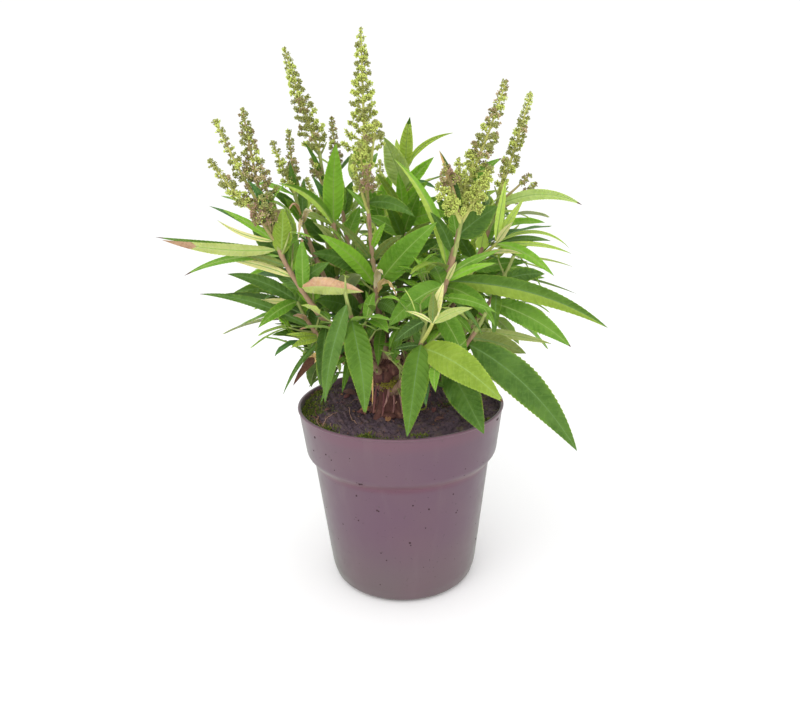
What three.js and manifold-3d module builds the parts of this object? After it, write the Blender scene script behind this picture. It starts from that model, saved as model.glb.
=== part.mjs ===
// A young butterfly bush in its nursery pot: a pruned woody base, tapering boughs, leafy shoots
// with opposite leaves, and panicles of tight flower buds at their tips.
//
// Millimetres, +Z up. The origin is on the pot's axis, on the flat underside that it stands on.
// Bearings are degrees round that axis: 0 is +X (right), 90 is +Y (back), 270 is the front.
// A place on the plant is given by its bearing, its reach from the axis and its height.

import * as THREE from 'three';
import { mergeVertices } from 'three/addons/utils/BufferGeometryUtils.js';
import Module from 'manifold-3d';

const wasm = await Module();
wasm.setup();

// ---------------------------------------------------------------- driving dimensions

const GAP = 0.3;                      // clearance between touching pieces
const UP = new THREE.Vector3(0, 0, 1);
const SNAP_GRIDS = [0.002, 0.003, 0.005, 0.008];   // a fused piece takes the first that leaves it closed

const POT = {
  height: 153,
  rimRadius: 85,                      // outside of the lip
  collarFootRadius: 79.5,             // outside, at the lower edge of the collar
  collarHeight: 38.7,
  shoulderHeight: 7,                  // slope from the collar in to the body
  bodyTopRadius: 73.7,
  bodyFootRadius: 62.6,
  footRadius: 55.4,                   // flat ring that it stands on
  footCurveHeight: 12,
  footRound: { out: 4.6, up: 2.6 },   // first step of the curve from the foot ring to the body
  lip: { drop: 2, taper: 0.9, round: 0.7 },
  wall: 1.8,
  floor: 2.4,
  drainHoles: 8,
  drainRadius: 5,
  drainRing: 40,                      // radius of the ring of holes
  facets: 36,
};

const SOIL = { edgeDrop: 8.5, domeDrop: 5.7, domeRadius: 48 };   // drops below the lip

const SOIL_TOP = POT.height - SOIL.domeDrop;

const BASE = {
  foot: { x: -10, y: -15 },           // where the woody base leaves the soil
  head: { x: -5, y: -8 },
  height: 46,
  footRadius: 15.5,
  waistRadius: 10.5,
  headRadius: 10,
  sides: 10,
  rings: 6,
  flareLobes: 3,                      // root flare: swellings round the foot
  flareDepth: 0.2,
};

// A stem is a bough for the first share of its length, and carries leaves and buds above that.
const STEM = {
  footRadius: 3.3, tipRadius: 1.2,
  taper: 0.8,
  footRing: 5,                        // how far from the base's middle the stems stand
  kneeOut: 0.78, kneeUp: 0.42,        // where it bows, as shares of the way out and up
  boughShare: 0.36,
  boughSides: 5, boughRings: 3,
  leafyRings: 4,
};

const TWIG = {
  radius: 0.95, sides: 3,
  shortest: 16, longest: 34,
  besideLeaf: 38,                     // degrees round the stem from the leaf in whose axil it grows
  rise: 0.75,                         // how much it follows the stem, against how much it stands out
  pairPlaces: [0.55, 0.97],           // its two pairs of small leaves, along its length
};

const LEAF = {
  widthShare: 0.235,                  // width for its length
  thicknessShare: 1 / 60,
  rootSunk: 0.15,                     // how far the root lies past its twig's axis
  bladeFrom: 0.14,                    // past this share of its length a blade stays clear of all others
  margin: 0.45,                       // clearance kept round a blade
  tries: 4,
  ringLengths: [0, 48, 95],          // a leaf longer than each of these has a ring of corners more
};

// How a shoot's leaves change from its first pair (low) to its last (top).
const HABIT = {
  lowSpread: 66, topSpread: 42,       // degrees between leaf and shoot
  lowDroop: 46, topDroop: 28,         // degrees that a leaf bends down over its length
  topLength: 0.46,                    // share of the shoot's longest leaf
  innerLength: 0.68,                  // the same, for a leaf that points into the crown
  firstPair: 0.4, lastPair: 0.985,    // along the stem, as a share of its length
  sideTwigChance: 0.15, sideTwigLeaf: 0.42,
  lowestTip: 160,                     // no leaf of the rule hangs lower than this
};

const SPIKE = {
  whorlSpacing: 9, sides: 5,
  axisFoot: 1.3, axisTip: 0.55,       // radii of its axis
  stalkSunk: 0.08,                    // how far its bare stalk runs up inside the lowest whorl
  tipRadius: 2.5, narrowShare: 0.6,   // of a whorl at the top, and across the narrow way
  neckShare: 0.42,                    // between two whorls
  taper: 1.25,                        // above 1 it stays wide until near its tip
  bodyWidth: 21,                      // a wider spike gets side branches
  sideBranches: 7,
  branchTurn: 137,                    // degrees round the axis from one branch to the next
  branchRise: 0.7,
  kneeOut: 0.55, kneeUp: 0.45,        // where its stalk bows, as for a stem
};

// One row for each shoot: the tip of its leafy stem, where it leaves the woody base (bearing and
// height) or another bough (`on`, `at`), its leaf pairs, its longest leaf, and its bud spikes, each
// with the share of the stem it leaves from, the place of its tip, its length and its width.
const SHOOTS = [
  { name: 'centre', bearing: 192, reach: 23, height: 336, pairs: 7, longest: 92,
    foot: { bearing: 205, height: 190 },
    spikes: [{ from: 1, bearing: 193, reach: 23, height: 437, length: 96, width: 37 }] },
  { name: 'back_left_tall', bearing: 154, reach: 67, height: 353, pairs: 7, longest: 92,
    foot: { bearing: 150, height: 184 },
    spikes: [{ from: 1, bearing: 160, reach: 88, height: 429, length: 76, width: 23 }] },
  { name: 'back_left', bearing: 126, reach: 84, height: 338, pairs: 5, longest: 84,
    foot: { on: 'back_left_tall', at: 0.55 },
    spikes: [{ from: 1, bearing: 127, reach: 88, height: 381, length: 38, width: 14 }] },
  { name: 'left', bearing: 205, reach: 103, height: 311, pairs: 7, longest: 96,
    foot: { bearing: 210, height: 181 },
    spikes: [
      { from: 1, bearing: 204, reach: 112, height: 380, length: 66, width: 30 },
      { from: 1, bearing: 204, reach: 131, height: 373, length: 42, width: 13 },
      { from: 0.93, bearing: 206, reach: 138, height: 347, length: 38, width: 15 }] },
  { name: 'left_back', bearing: 172, reach: 80, height: 322, pairs: 6, longest: 92,
    foot: { bearing: 176, height: 186 },
    spikes: [
      { from: 1, bearing: 174, reach: 94, height: 361, length: 36, width: 14 },
      { from: 0.97, bearing: 164, reach: 86, height: 369, length: 38, width: 12 }] },
  { name: 'right', bearing: 335, reach: 58, height: 328, pairs: 7, longest: 92,
    foot: { bearing: 335, height: 186 },
    spikes: [{ from: 1, bearing: 346, reach: 82, height: 397, length: 66, width: 27 }] },
  { name: 'right_outer', bearing: 9, reach: 82, height: 318, pairs: 6, longest: 96,
    foot: { bearing: 8, height: 180 },
    spikes: [{ from: 1, bearing: 11, reach: 107, height: 393, length: 62, width: 19 }] },
  { name: 'right_back', bearing: 32, reach: 98, height: 300, pairs: 6, longest: 94,
    foot: { on: 'back_right', at: 0.5 },
    spikes: [{ from: 1, bearing: 24, reach: 129, height: 324, length: 24, width: 10 }] },
  { name: 'back_centre', bearing: 82, reach: 58, height: 338, pairs: 7, longest: 90,
    foot: { bearing: 85, height: 188 },
    spikes: [{ from: 1, bearing: 79, reach: 61, height: 374, length: 28, width: 9 }] },
  { name: 'front_right', bearing: 312, reach: 68, height: 304, pairs: 6, longest: 96,
    foot: { bearing: 305, height: 177 },
    spikes: [
      { from: 1, bearing: 300, reach: 64, height: 340, length: 28, width: 17 },
      { from: 0.98, bearing: 329, reach: 78, height: 338, length: 34, width: 24 }] },
  { name: 'back_right', bearing: 56, reach: 110, height: 300, pairs: 6, longest: 104,
    foot: { bearing: 48, height: 180 },
    spikes: [{ from: 1, bearing: 53, reach: 124, height: 338, length: 40, width: 16 }] },
  { name: 'back', bearing: 98, reach: 106, height: 306, pairs: 6, longest: 108,
    foot: { bearing: 108, height: 178 },
    spikes: [{ from: 1, bearing: 97, reach: 116, height: 346, length: 42, width: 18 }] },
  { name: 'back_left_low', bearing: 128, reach: 110, height: 296, pairs: 6, longest: 108,
    foot: { bearing: 130, height: 172 },
    spikes: [{ from: 1, bearing: 131, reach: 122, height: 332, length: 36, width: 14 }] },
  { name: 'right_low', bearing: 354, reach: 90, height: 272, pairs: 6, longest: 108,
    foot: { bearing: 350, height: 170 }, spikes: [] },
  { name: 'front', bearing: 284, reach: 78, height: 238, pairs: 5, longest: 96,
    foot: { bearing: 285, height: 166 }, spikes: [] },
  { name: 'left_low', bearing: 194, reach: 80, height: 242, pairs: 5, longest: 108,
    foot: { bearing: 192, height: 170 }, spikes: [] },
  { name: 'left_back_low', bearing: 154, reach: 104, height: 262, pairs: 6, longest: 108,
    foot: { bearing: 156, height: 167 }, spikes: [] },
  { name: 'front_left', bearing: 243, reach: 80, height: 258, pairs: 6, longest: 100,
    foot: { bearing: 245, height: 176 }, spikes: [] },
  { name: 'front_right_low', bearing: 318, reach: 84, height: 238, pairs: 5, longest: 104,
    foot: { bearing: 320, height: 166 }, spikes: [] },
  { name: 'back_low', bearing: 72, reach: 96, height: 262, pairs: 6, longest: 108,
    foot: { bearing: 75, height: 168 }, spikes: [] },
];

// Leaves with a place of their own: the shoot and the share of its stem they grow from, the place
// of their tip, how far they droop on the way (degrees), their width and, if they lean sideways,
// their roll (degrees).
const PLACED_LEAVES = [
  { shoot: 'front_right_low', at: 0.72, bearing: 323, reach: 153, height: 146,
    droop: 42, width: 26, roll: 45 },
  { shoot: 'front', at: 0.8, bearing: 307, reach: 116, height: 183, droop: 34, width: 28, roll: 30 },
  { shoot: 'front_right_low', at: 0.54, bearing: 306, reach: 104, height: 158,
    droop: 30, width: 20, roll: 30 },
  { shoot: 'front', at: 0.69, bearing: 272, reach: 93, height: 160, droop: 24, width: 21 },
  { shoot: 'right_low', at: 0.6, bearing: 345, reach: 135, height: 204, droop: 40, width: 19, roll: 35 },
  { shoot: 'right_low', at: 0.8, bearing: 344, reach: 160, height: 223, droop: 36, width: 17, roll: 30 },
  { shoot: 'front_right_low', at: 0.8, bearing: 326, reach: 127, height: 219,
    droop: 16, width: 11, roll: 25 },
  { shoot: 'front_right_low', at: 1, bearing: 308, reach: 104, height: 218, droop: 70, width: 9 },
  { shoot: 'front_right', at: 0.66, bearing: 261, reach: 78, height: 265, droop: 20, width: 20, roll: 20 },
  { shoot: 'front_right', at: 0.92, bearing: 265, reach: 90, height: 269, droop: 34, width: 21, roll: 25 },
  { shoot: 'front', at: 0.98, bearing: 266, reach: 97, height: 240, droop: 62, width: 18, roll: -25 },
  { shoot: 'front_right', at: 0.64, bearing: 323, reach: 112, height: 271, droop: 24, width: 11, roll: 20 },
  { shoot: 'right', at: 0.74, bearing: 323, reach: 87, height: 311, droop: 20, width: 20, roll: 40 },
  { shoot: 'right_outer', at: 0.77, bearing: 354, reach: 85, height: 329, droop: 18, width: 13 },
  { shoot: 'right_outer', at: 0.93, bearing: 350, reach: 138, height: 315, droop: 44, width: 13, roll: 25 },
  { shoot: 'right_outer', at: 0.83, bearing: 351, reach: 130, height: 280, droop: 70, width: 10 },
  { shoot: 'right_low', at: 0.93, bearing: 341, reach: 122, height: 263, droop: 26, width: 14, roll: 15 },
  { shoot: 'right_low', at: 0.9, bearing: 348, reach: 139, height: 247, droop: 30, width: 11 },
  { shoot: 'right_low', at: 1, bearing: 0, reach: 137, height: 271, droop: 16, width: 10 },
  { shoot: 'right_back', at: 0.8, bearing: 19, reach: 158, height: 254, droop: 50, width: 13 },
  { shoot: 'left', at: 0.8, bearing: 205, reach: 167, height: 296, droop: 26, width: 15, roll: 155 },
  { shoot: 'left', at: 0.74, bearing: 193, reach: 178, height: 296, droop: 30, width: 13, roll: -20 },
  { shoot: 'left', at: 0.7, bearing: 211, reach: 166, height: 275, droop: 34, width: 13, roll: -20 },
  { shoot: 'left', at: 0.93, bearing: 205, reach: 141, height: 318, droop: 24, width: 13, roll: -30 },
  { shoot: 'left_low', at: 0.84, bearing: 202, reach: 131, height: 268, droop: 30, width: 15, roll: -30 },
  { shoot: 'left_low', at: 0.66, bearing: 199, reach: 154, height: 257, droop: 36, width: 14, roll: -25 },
  { shoot: 'left', at: 0.52, bearing: 216, reach: 143, height: 259, droop: 30, width: 14, roll: -20 },
  { shoot: 'left_low', at: 0.74, bearing: 212, reach: 120, height: 232, droop: 40, width: 13, roll: -25 },
  { shoot: 'left_low', at: 0.5, bearing: 205, reach: 101, height: 176, droop: 44, width: 12 },
  { shoot: 'front_left', at: 0.65, bearing: 237, reach: 97, height: 181, droop: 32, width: 20, roll: 20 },
  { shoot: 'front_left', at: 0.8, bearing: 256, reach: 99, height: 178, droop: 34, width: 24, roll: -10 },
  { shoot: 'front_left', at: 0.95, bearing: 241, reach: 120, height: 270, droop: 34, width: 14, roll: 30 },
  { shoot: 'left', at: 0.64, bearing: 227, reach: 94, height: 295, droop: 22, width: 13 },
  { shoot: 'left', at: 0.74, bearing: 222, reach: 104, height: 315, droop: 22, width: 16, roll: 20 },
  { shoot: 'centre', at: 0.6, bearing: 225, reach: 80, height: 297, droop: 30, width: 15, roll: 25 },
  { shoot: 'front_left', at: 0.99, bearing: 240, reach: 112, height: 288, droop: 20, width: 16, roll: 30 },
  { shoot: 'left_back_low', at: 0.8, bearing: 178, reach: 152, height: 271, droop: 34, width: 16 },
  { shoot: 'centre', at: 0.86, bearing: 215, reach: 53, height: 360, droop: 16, width: 18 },
  { shoot: 'centre', at: 0.76, bearing: 206, reach: 93, height: 328, droop: 60, width: 11 },
  { shoot: 'left_back', at: 0.92, bearing: 185, reach: 111, height: 334, droop: 24, width: 11 },
  { shoot: 'left_back', at: 0.8, bearing: 168, reach: 64, height: 358, droop: 14, width: 11 },
  { shoot: 'back_centre', at: 0.85, bearing: 104, reach: 28, height: 363, droop: 18, width: 19 },
  { shoot: 'back_centre', at: 0.96, bearing: 75, reach: 38, height: 372, droop: 16, width: 12 },
  { shoot: 'right', at: 0.79, bearing: 270, reach: 48, height: 325, droop: 26, width: 13, roll: 20 },
  { shoot: 'back_centre', at: 0.91, bearing: 41, reach: 60, height: 365, droop: 56, width: 8 },
  { shoot: 'right', at: 0.9, bearing: 304, reach: 47, height: 346, droop: 20, width: 12 },
  { shoot: 'front_right', at: 0.84, bearing: 267, reach: 73, height: 345, droop: 18, width: 12 },
  { shoot: 'centre', at: 0.93, bearing: 291, reach: 48, height: 308, droop: 36, width: 12, roll: 20 },
  { shoot: 'back_centre', at: 0.79, bearing: 53, reach: 54, height: 350, droop: 22, width: 13 },
  { shoot: 'right_outer', at: 0.97, bearing: 15, reach: 112, height: 331, droop: 24, width: 10 },
  { shoot: 'left_back', at: 0.98, bearing: 180, reach: 108, height: 338, droop: 24, width: 11 },
];

// ---------------------------------------------------------------- small helpers

const radians = THREE.MathUtils.degToRad;
const mix = THREE.MathUtils.lerp;

function place({ bearing, reach, height }) {
  const angle = radians(bearing);
  return new THREE.Vector3(reach * Math.cos(angle), reach * Math.sin(angle), height);
}

// The same seed and turn always give the same number from 0 to 1.
function chance(seed, turn) {
  let hash = Math.imul(seed + 1, 0x9e3779b1) ^ Math.imul(turn + 1, 0x85ebca6b);
  hash = Math.imul(hash ^ (hash >>> 16), 0x7feb352d);
  hash = Math.imul(hash ^ (hash >>> 15), 0x846ca68b);
  return ((hash ^ (hash >>> 16)) >>> 0) / 4294967296;
}

function solidOf(geometry, tolerance = 1e-4) {
  geometry.deleteAttribute('normal');
  geometry.deleteAttribute('uv');
  const merged = mergeVertices(geometry, tolerance);
  return new wasm.Manifold(new wasm.Mesh({
    numProp: 3,
    vertProperties: new Float32Array(merged.attributes.position.array),
    triVerts: new Uint32Array(merged.index.array),
  }));
}

function geometryOf(solid) {
  const mesh = solid.getMesh();
  const geometry = new THREE.BufferGeometry();
  geometry.setAttribute('position', new THREE.BufferAttribute(new Float32Array(mesh.vertProperties), 3));
  geometry.setIndex([...mesh.triVerts]);
  return geometry;
}

function snapped(geometry, grid) {
  const array = geometry.attributes.position.array;
  for (let i = 0; i < array.length; i += 1) array[i] = Math.round(array[i] / grid) * grid;
  return geometry;
}

// True where every edge of a surface is shared by just two of its triangles.
function isClosed(geometry) {
  const uses = new Map();
  const corners = geometry.index.array;
  for (let i = 0; i < corners.length; i += 1) {
    const next = i % 3 === 2 ? corners[i - 2] : corners[i + 1];
    const edge = `${Math.min(corners[i], next)} ${Math.max(corners[i], next)}`;
    uses.set(edge, (uses.get(edge) ?? 0) + 1);
  }
  return [...uses.values()].every((count) => count === 2);
}

// The outer shell of a fused solid, its corners snapped to a fine grid: sealed hollows are filled
// and loose scraps are dropped.
function outerShell(solid) {
  for (const grid of SNAP_GRIDS) {
    const shells = solidOf(snapped(geometryOf(solid), grid), grid / 2).decompose();
    const largest = shells.reduce((one, other) => (other.volume() > one.volume() ? other : one));
    const geometry = mergeVertices(geometryOf(largest), grid / 2);
    geometry.computeVertexNormals();
    if (isClosed(geometry)) return geometry;
  }
  throw new Error('a fused piece has no closed outer shell');
}

const group = new THREE.Group();

function addNode(name, geometry, color, roughness) {
  const mesh = new THREE.Mesh(geometry, new THREE.MeshStandardMaterial({ color, roughness }));
  mesh.name = name;
  group.add(mesh);
}

function fuse(solids) {
  return solids.reduce((whole, solid) => whole.add(solid));
}

// ---------------------------------------------------------------- limbs, leaves and buds

// A closed tapering limb: rings of `sides` points carried along a curve, cut flat at both ends.
function limb(curve, { from = 0, to = 1, rings, sides, radiusAt }) {
  const geometry = new THREE.CylinderGeometry(1, 1, 1, sides, rings);
  const position = geometry.attributes.position;
  const across = sideways(curve);
  for (let i = 0; i < position.count; i += 1) {
    const s = mix(from, to, 0.5 - position.getY(i));
    const along = curve.getTangent(s);
    const second = along.clone().cross(across).normalize();
    const first = second.clone().cross(along);
    const angle = Math.atan2(position.getZ(i), position.getX(i));
    const radius = radiusAt(s, angle) * Math.hypot(position.getX(i), position.getZ(i));
    const point = curve.getPoint(s)
      .addScaledVector(first, radius * Math.cos(angle))
      .addScaledVector(second, radius * Math.sin(angle));
    position.setXYZ(i, point.x, point.y, point.z);
  }
  return solidOf(geometry);
}

// A direction square to the whole of a bent limb, so that its rings don't twist.
function sideways(curve) {
  const start = curve.getTangent(0);
  const square = start.clone().cross(curve.getTangent(1));
  if (square.length() > 1e-3) return square.normalize();
  const helper = Math.abs(start.x) < 0.8 ? new THREE.Vector3(1, 0, 0) : new THREE.Vector3(0, 1, 0);
  return helper.cross(start).normalize();
}

// The direction square to `direction` that points most nearly upwards.
function uprightOf(direction) {
  const upright = UP.clone().addScaledVector(direction, -direction.z);
  return upright.length() > 0.02 ? upright.normalize() : new THREE.Vector3(0, 1, 0);
}

// The midline of a leaf starts along `start` and bends evenly by `droop` towards the ground; the
// blade is rolled about it.
function leafMidline({ root, start, droop, length, roll }) {
  const top = uprightOf(start);
  const side = top.clone().cross(start);
  const bend = radians(droop);
  const radius = length / bend;
  const lean = radians(roll);
  const turned = (s) => top.clone().multiplyScalar(Math.cos(bend * s))
    .addScaledVector(start, Math.sin(bend * s));
  return {
    pointAt: (s) => root.clone()
      .addScaledVector(start, radius * Math.sin(bend * s))
      .addScaledVector(top, radius * (Math.cos(bend * s) - 1)),
    acrossAt: (s) => side.clone().multiplyScalar(Math.cos(lean)).addScaledVector(turned(s), Math.sin(lean)),
    topAt: (s) => turned(s).multiplyScalar(Math.cos(lean)).addScaledVector(side, -Math.sin(lean)),
  };
}

// Half-width of a lance-shaped leaf as a share of its greatest half-width.
function leafOutline(s) {
  return Math.min(1, 1.55 * Math.sin(Math.PI * Math.min(1, s + 0.02) ** 0.72) ** 0.85 * (1 - 0.35 * s));
}

// A leaf blade is a flat three-sided bead, keeled below along its midrib, with `rings` rings
// between its root and its tip.
function leafSolid(leaf, { from = 0, rings = 2, extra = 0 } = {}) {
  const midline = leafMidline(leaf);
  const geometry = new THREE.SphereGeometry(1, 3, rings + 1);
  geometry.rotateY(-Math.PI / 2);
  const position = geometry.attributes.position;
  const thickness = leaf.length * LEAF.thicknessShare;
  for (let i = 0; i < position.count; i += 1) {
    const turn = Math.acos(THREE.MathUtils.clamp(position.getY(i), -1, 1)) / Math.PI;
    const s = mix(from, 1 + extra / leaf.length, turn);
    const ring = Math.hypot(position.getX(i), position.getZ(i));
    const edge = ring < 1e-3 ? 0 : position.getX(i) / ring / Math.sin(Math.PI / 3);
    const lift = ring < 1e-3 ? 0 : position.getZ(i) / ring / 1.5;
    const point = midline.pointAt(s)
      .addScaledVector(midline.acrossAt(s), edge * (leaf.width / 2 * leafOutline(s) + extra))
      .addScaledVector(midline.topAt(s), lift * (thickness + 3 * extra));
    position.setXYZ(i, point.x, point.y, point.z);
  }
  return solidOf(geometry);
}

// A tight cluster of flower buds: an eight-sided bead that points along `direction`.
function budCluster(root, direction, length, width) {
  const geometry = new THREE.OctahedronGeometry(1, 0);
  geometry.scale(width / 2, length / 2, width / 2);
  geometry.applyQuaternion(new THREE.Quaternion().setFromUnitVectors(new THREE.Vector3(0, 1, 0), direction));
  const centre = root.clone().addScaledVector(direction, length / 2 - 0.6);
  geometry.translate(centre.x, centre.y, centre.z);
  return solidOf(geometry);
}

// ---------------------------------------------------------------- pot and soil

function potSection(inset) {
  const { height, wall } = POT;
  const collarFoot = height - POT.collarHeight;
  const bodyTop = collarFoot - POT.shoulderHeight;
  const lift = inset ? POT.floor : 0;
  return [
    [POT.footRadius - inset, lift],
    [POT.footRadius + POT.footRound.out - inset, POT.footRound.up + lift * 0.6],
    [POT.bodyFootRadius - inset, POT.footCurveHeight + lift * 0.2],
    [POT.bodyTopRadius - inset, bodyTop],
    [POT.collarFootRadius - inset, collarFoot + (inset ? wall * 0.6 : 0)],
    [POT.rimRadius - POT.lip.taper - inset, height - POT.lip.drop],
  ];
}

function lathe(points) {
  const profile = points.map(([radius, height]) => new THREE.Vector2(radius, height));
  const geometry = new THREE.LatheGeometry(profile, POT.facets);
  geometry.rotateX(Math.PI / 2);
  return solidOf(geometry);
}

function potSolid() {
  const { round } = POT.lip;
  const lip = [
    [POT.rimRadius, POT.height - 2 * round],
    [POT.rimRadius - round, POT.height],
    [POT.rimRadius - POT.wall - round, POT.height],
  ];
  const inside = potSection(POT.wall).reverse();
  const shell = lathe([[0, 0], ...potSection(0), ...lip, ...inside, [0, POT.floor]]);
  let pot = shell;
  for (let i = 0; i < POT.drainHoles; i += 1) {
    const hole = new THREE.CylinderGeometry(POT.drainRadius, POT.drainRadius, 3 * POT.floor, 8);
    hole.rotateX(Math.PI / 2);
    const angle = radians(360 * (i + 0.5) / POT.drainHoles);
    hole.translate(POT.drainRing * Math.cos(angle), POT.drainRing * Math.sin(angle), POT.floor / 2);
    pot = pot.subtract(solidOf(hole));
  }
  return pot;
}

function soilSolid() {
  const inset = POT.wall + GAP;
  const wallSide = potSection(inset).filter(([, height]) => height < POT.height - SOIL.edgeDrop);
  const [lowRadius, lowHeight] = wallSide.at(-1);
  const [highRadius, highHeight] = potSection(inset).at(-1);
  const edgeHeight = POT.height - SOIL.edgeDrop;
  const share = (edgeHeight - lowHeight) / (highHeight - lowHeight);
  wallSide[0][1] = POT.floor + GAP;
  return lathe([
    [0, POT.floor + GAP],
    ...wallSide,
    [mix(lowRadius, highRadius, share), edgeHeight],
    [SOIL.domeRadius, SOIL_TOP],
    [0, SOIL_TOP],
  ]);
}

// ---------------------------------------------------------------- woody base

const baseCurve = new THREE.QuadraticBezierCurve3(
  new THREE.Vector3(BASE.foot.x, BASE.foot.y, SOIL_TOP + GAP),
  new THREE.Vector3(BASE.foot.x, BASE.foot.y, SOIL_TOP + GAP + BASE.height * 0.5),
  new THREE.Vector3(BASE.head.x, BASE.head.y, SOIL_TOP + GAP + BASE.height),
);

function baseRadius(s, angle) {
  const flare = (1 - s) ** 3;
  const knuckles = 0.08 * Math.sin(5 * angle + 9 * s);
  const swell = 1 + BASE.flareDepth * flare * Math.cos(BASE.flareLobes * angle) + knuckles;
  return swell * (mix(BASE.waistRadius, BASE.headRadius, s) + (BASE.footRadius - BASE.waistRadius) * flare);
}

// Pruned stubs: bearing, place up the base, length and radius.
const STUBS = [
  { bearing: 262, at: 0.55, length: 19, radius: 3.6 },
  { bearing: 28, at: 0.78, length: 20, radius: 3.2 },
  { bearing: 140, at: 0.62, length: 17, radius: 3 },
];

function woodyBase(extra = 0) {
  const trunk = limb(baseCurve, {
    rings: BASE.rings, sides: BASE.sides, radiusAt: (s, angle) => baseRadius(s, angle) + extra,
  });
  const stubs = STUBS.map((stub) => {
    const start = baseCurve.getPoint(stub.at);
    const direction = place({ bearing: stub.bearing, reach: 1, height: 0.9 }).normalize();
    const line = new THREE.LineCurve3(start, start.clone().addScaledVector(direction, stub.length + extra));
    return limb(line, { rings: 1, sides: STEM.boughSides, radiusAt: () => stub.radius + extra });
  });
  return fuse([trunk, ...stubs]);
}

// ---------------------------------------------------------------- boughs

const stems = new Map();

// A stem bows outwards as it leaves its foot and then rises to its tip.
function bowed(start, tip, { kneeOut, kneeUp }) {
  const knee = new THREE.Vector3(
    mix(start.x, tip.x, kneeOut),
    mix(start.y, tip.y, kneeOut),
    mix(start.z, tip.z, kneeUp),
  );
  return new THREE.QuadraticBezierCurve3(start, knee, tip);
}

function stemCurve(shoot) {
  const { foot } = shoot;
  const tip = place(shoot);
  let start;
  if (foot.on) {
    start = stems.get(foot.on).getPoint(foot.at * STEM.boughShare);
  } else {
    const inside = baseCurve.getPoint((foot.height - SOIL_TOP - GAP) / BASE.height);
    start = inside.add(place({ bearing: foot.bearing, reach: STEM.footRing, height: 0 }));
  }
  return bowed(start, tip, STEM);
}

function stemRadius(s) {
  return mix(STEM.footRadius, STEM.tipRadius, s ** STEM.taper);
}

function boughSolid(curve, extra = 0) {
  return limb(curve, {
    to: STEM.boughShare,
    rings: STEM.boughRings,
    sides: STEM.boughSides,
    radiusAt: (s) => stemRadius(s) + extra,
  });
}

// ---------------------------------------------------------------- foliage

// Everything that a new blade or twig has to keep clear of, with the node that owns it.
const taken = [];

function take(owner, solid) {
  taken.push({ owner, solid, box: solid.boundingBox() });
}

function boxesMeet(one, other) {
  return [0, 1, 2].every((axis) => one.min[axis] <= other.max[axis] && other.min[axis] <= one.max[axis]);
}

function isClear(solid, skipOwner = null) {
  const box = solid.boundingBox();
  return taken.every((other) => other.owner === skipOwner || !boxesMeet(box, other.box)
    || other.solid.intersect(solid).isEmpty());
}

// The leafy stem of a shoot, which runs from just above its bough to the foot of its first spike.
function leafyStem(curve) {
  const from = STEM.boughShare + GAP / curve.getLength();
  return limb(curve, { from, rings: STEM.leafyRings, sides: TWIG.sides, radiusAt: stemRadius });
}

function spikeCurve(curve, spike) {
  return bowed(curve.getPoint(spike.from), place(spike), SPIKE);
}

// A spike is one knobbly tapering body: each whorl of buds swells it, widest across the pair of
// clusters that stands there, and each whorl is square to the last. A wide spike has lax side
// branches of buds on its lowest whorls.
function spikeSolids(curve, spike, seed) {
  const axis = spikeCurve(curve, spike);
  const budded = Math.min(1, spike.length / axis.getLength());
  const whorls = Math.max(3, Math.round(spike.length / SPIKE.whorlSpacing));
  const widest = Math.min(spike.width, SPIKE.bodyWidth) / 2;
  const reachOf = (whorl) => mix(widest, SPIKE.tipRadius, (whorl / whorls) ** SPIKE.taper)
    * mix(0.88, 1.15, chance(seed, whorl));
  const knobs = limb(axis, {
    from: 1 - budded,
    rings: 2 * whorls,
    sides: SPIKE.sides,
    radiusAt: (s, angle) => {
      const ring = Math.round(2 * whorls * (s - 1 + budded) / budded);
      const axisRadius = mix(SPIKE.axisFoot, SPIKE.axisTip, s);
      if (ring % 2 === 0) return ring === 2 * whorls ? axisRadius : SPIKE.neckShare * reachOf(ring / 2);
      const whorl = (ring - 1) / 2;
      const pair = Math.abs(Math.cos(angle - whorl * Math.PI / 2));
      return Math.max(axisRadius, reachOf(whorl) * mix(SPIKE.narrowShare, 1, pair));
    },
  });
  const stalk = limb(axis, {
    to: Math.min(1, 1 - budded + SPIKE.stalkSunk),
    rings: 1,
    sides: TWIG.sides,
    radiusAt: () => 0.9 * SPIKE.axisFoot,
  });
  const solids = [stalk, knobs];
  if (spike.width <= SPIKE.bodyWidth) return solids;
  for (let branch = 0; branch < SPIKE.sideBranches; branch += 1) {
    const share = branch / SPIKE.sideBranches;
    const s = 1 - budded * (1 - 0.5 * share);
    const along = axis.getTangent(s);
    const around = SPIKE.branchTurn * branch + 30 * chance(seed, 80 + branch);
    const outward = sideways(axis).applyAxisAngle(along, radians(around));
    const direction = outward.addScaledVector(along, SPIKE.branchRise).normalize();
    const length = mix(0.62, 0.36, share) * spike.width * mix(0.85, 1.1, chance(seed, 90 + branch));
    solids.push(budCluster(axis.getPoint(s), direction, length, length * 0.36));
  }
  return solids;
}

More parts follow.
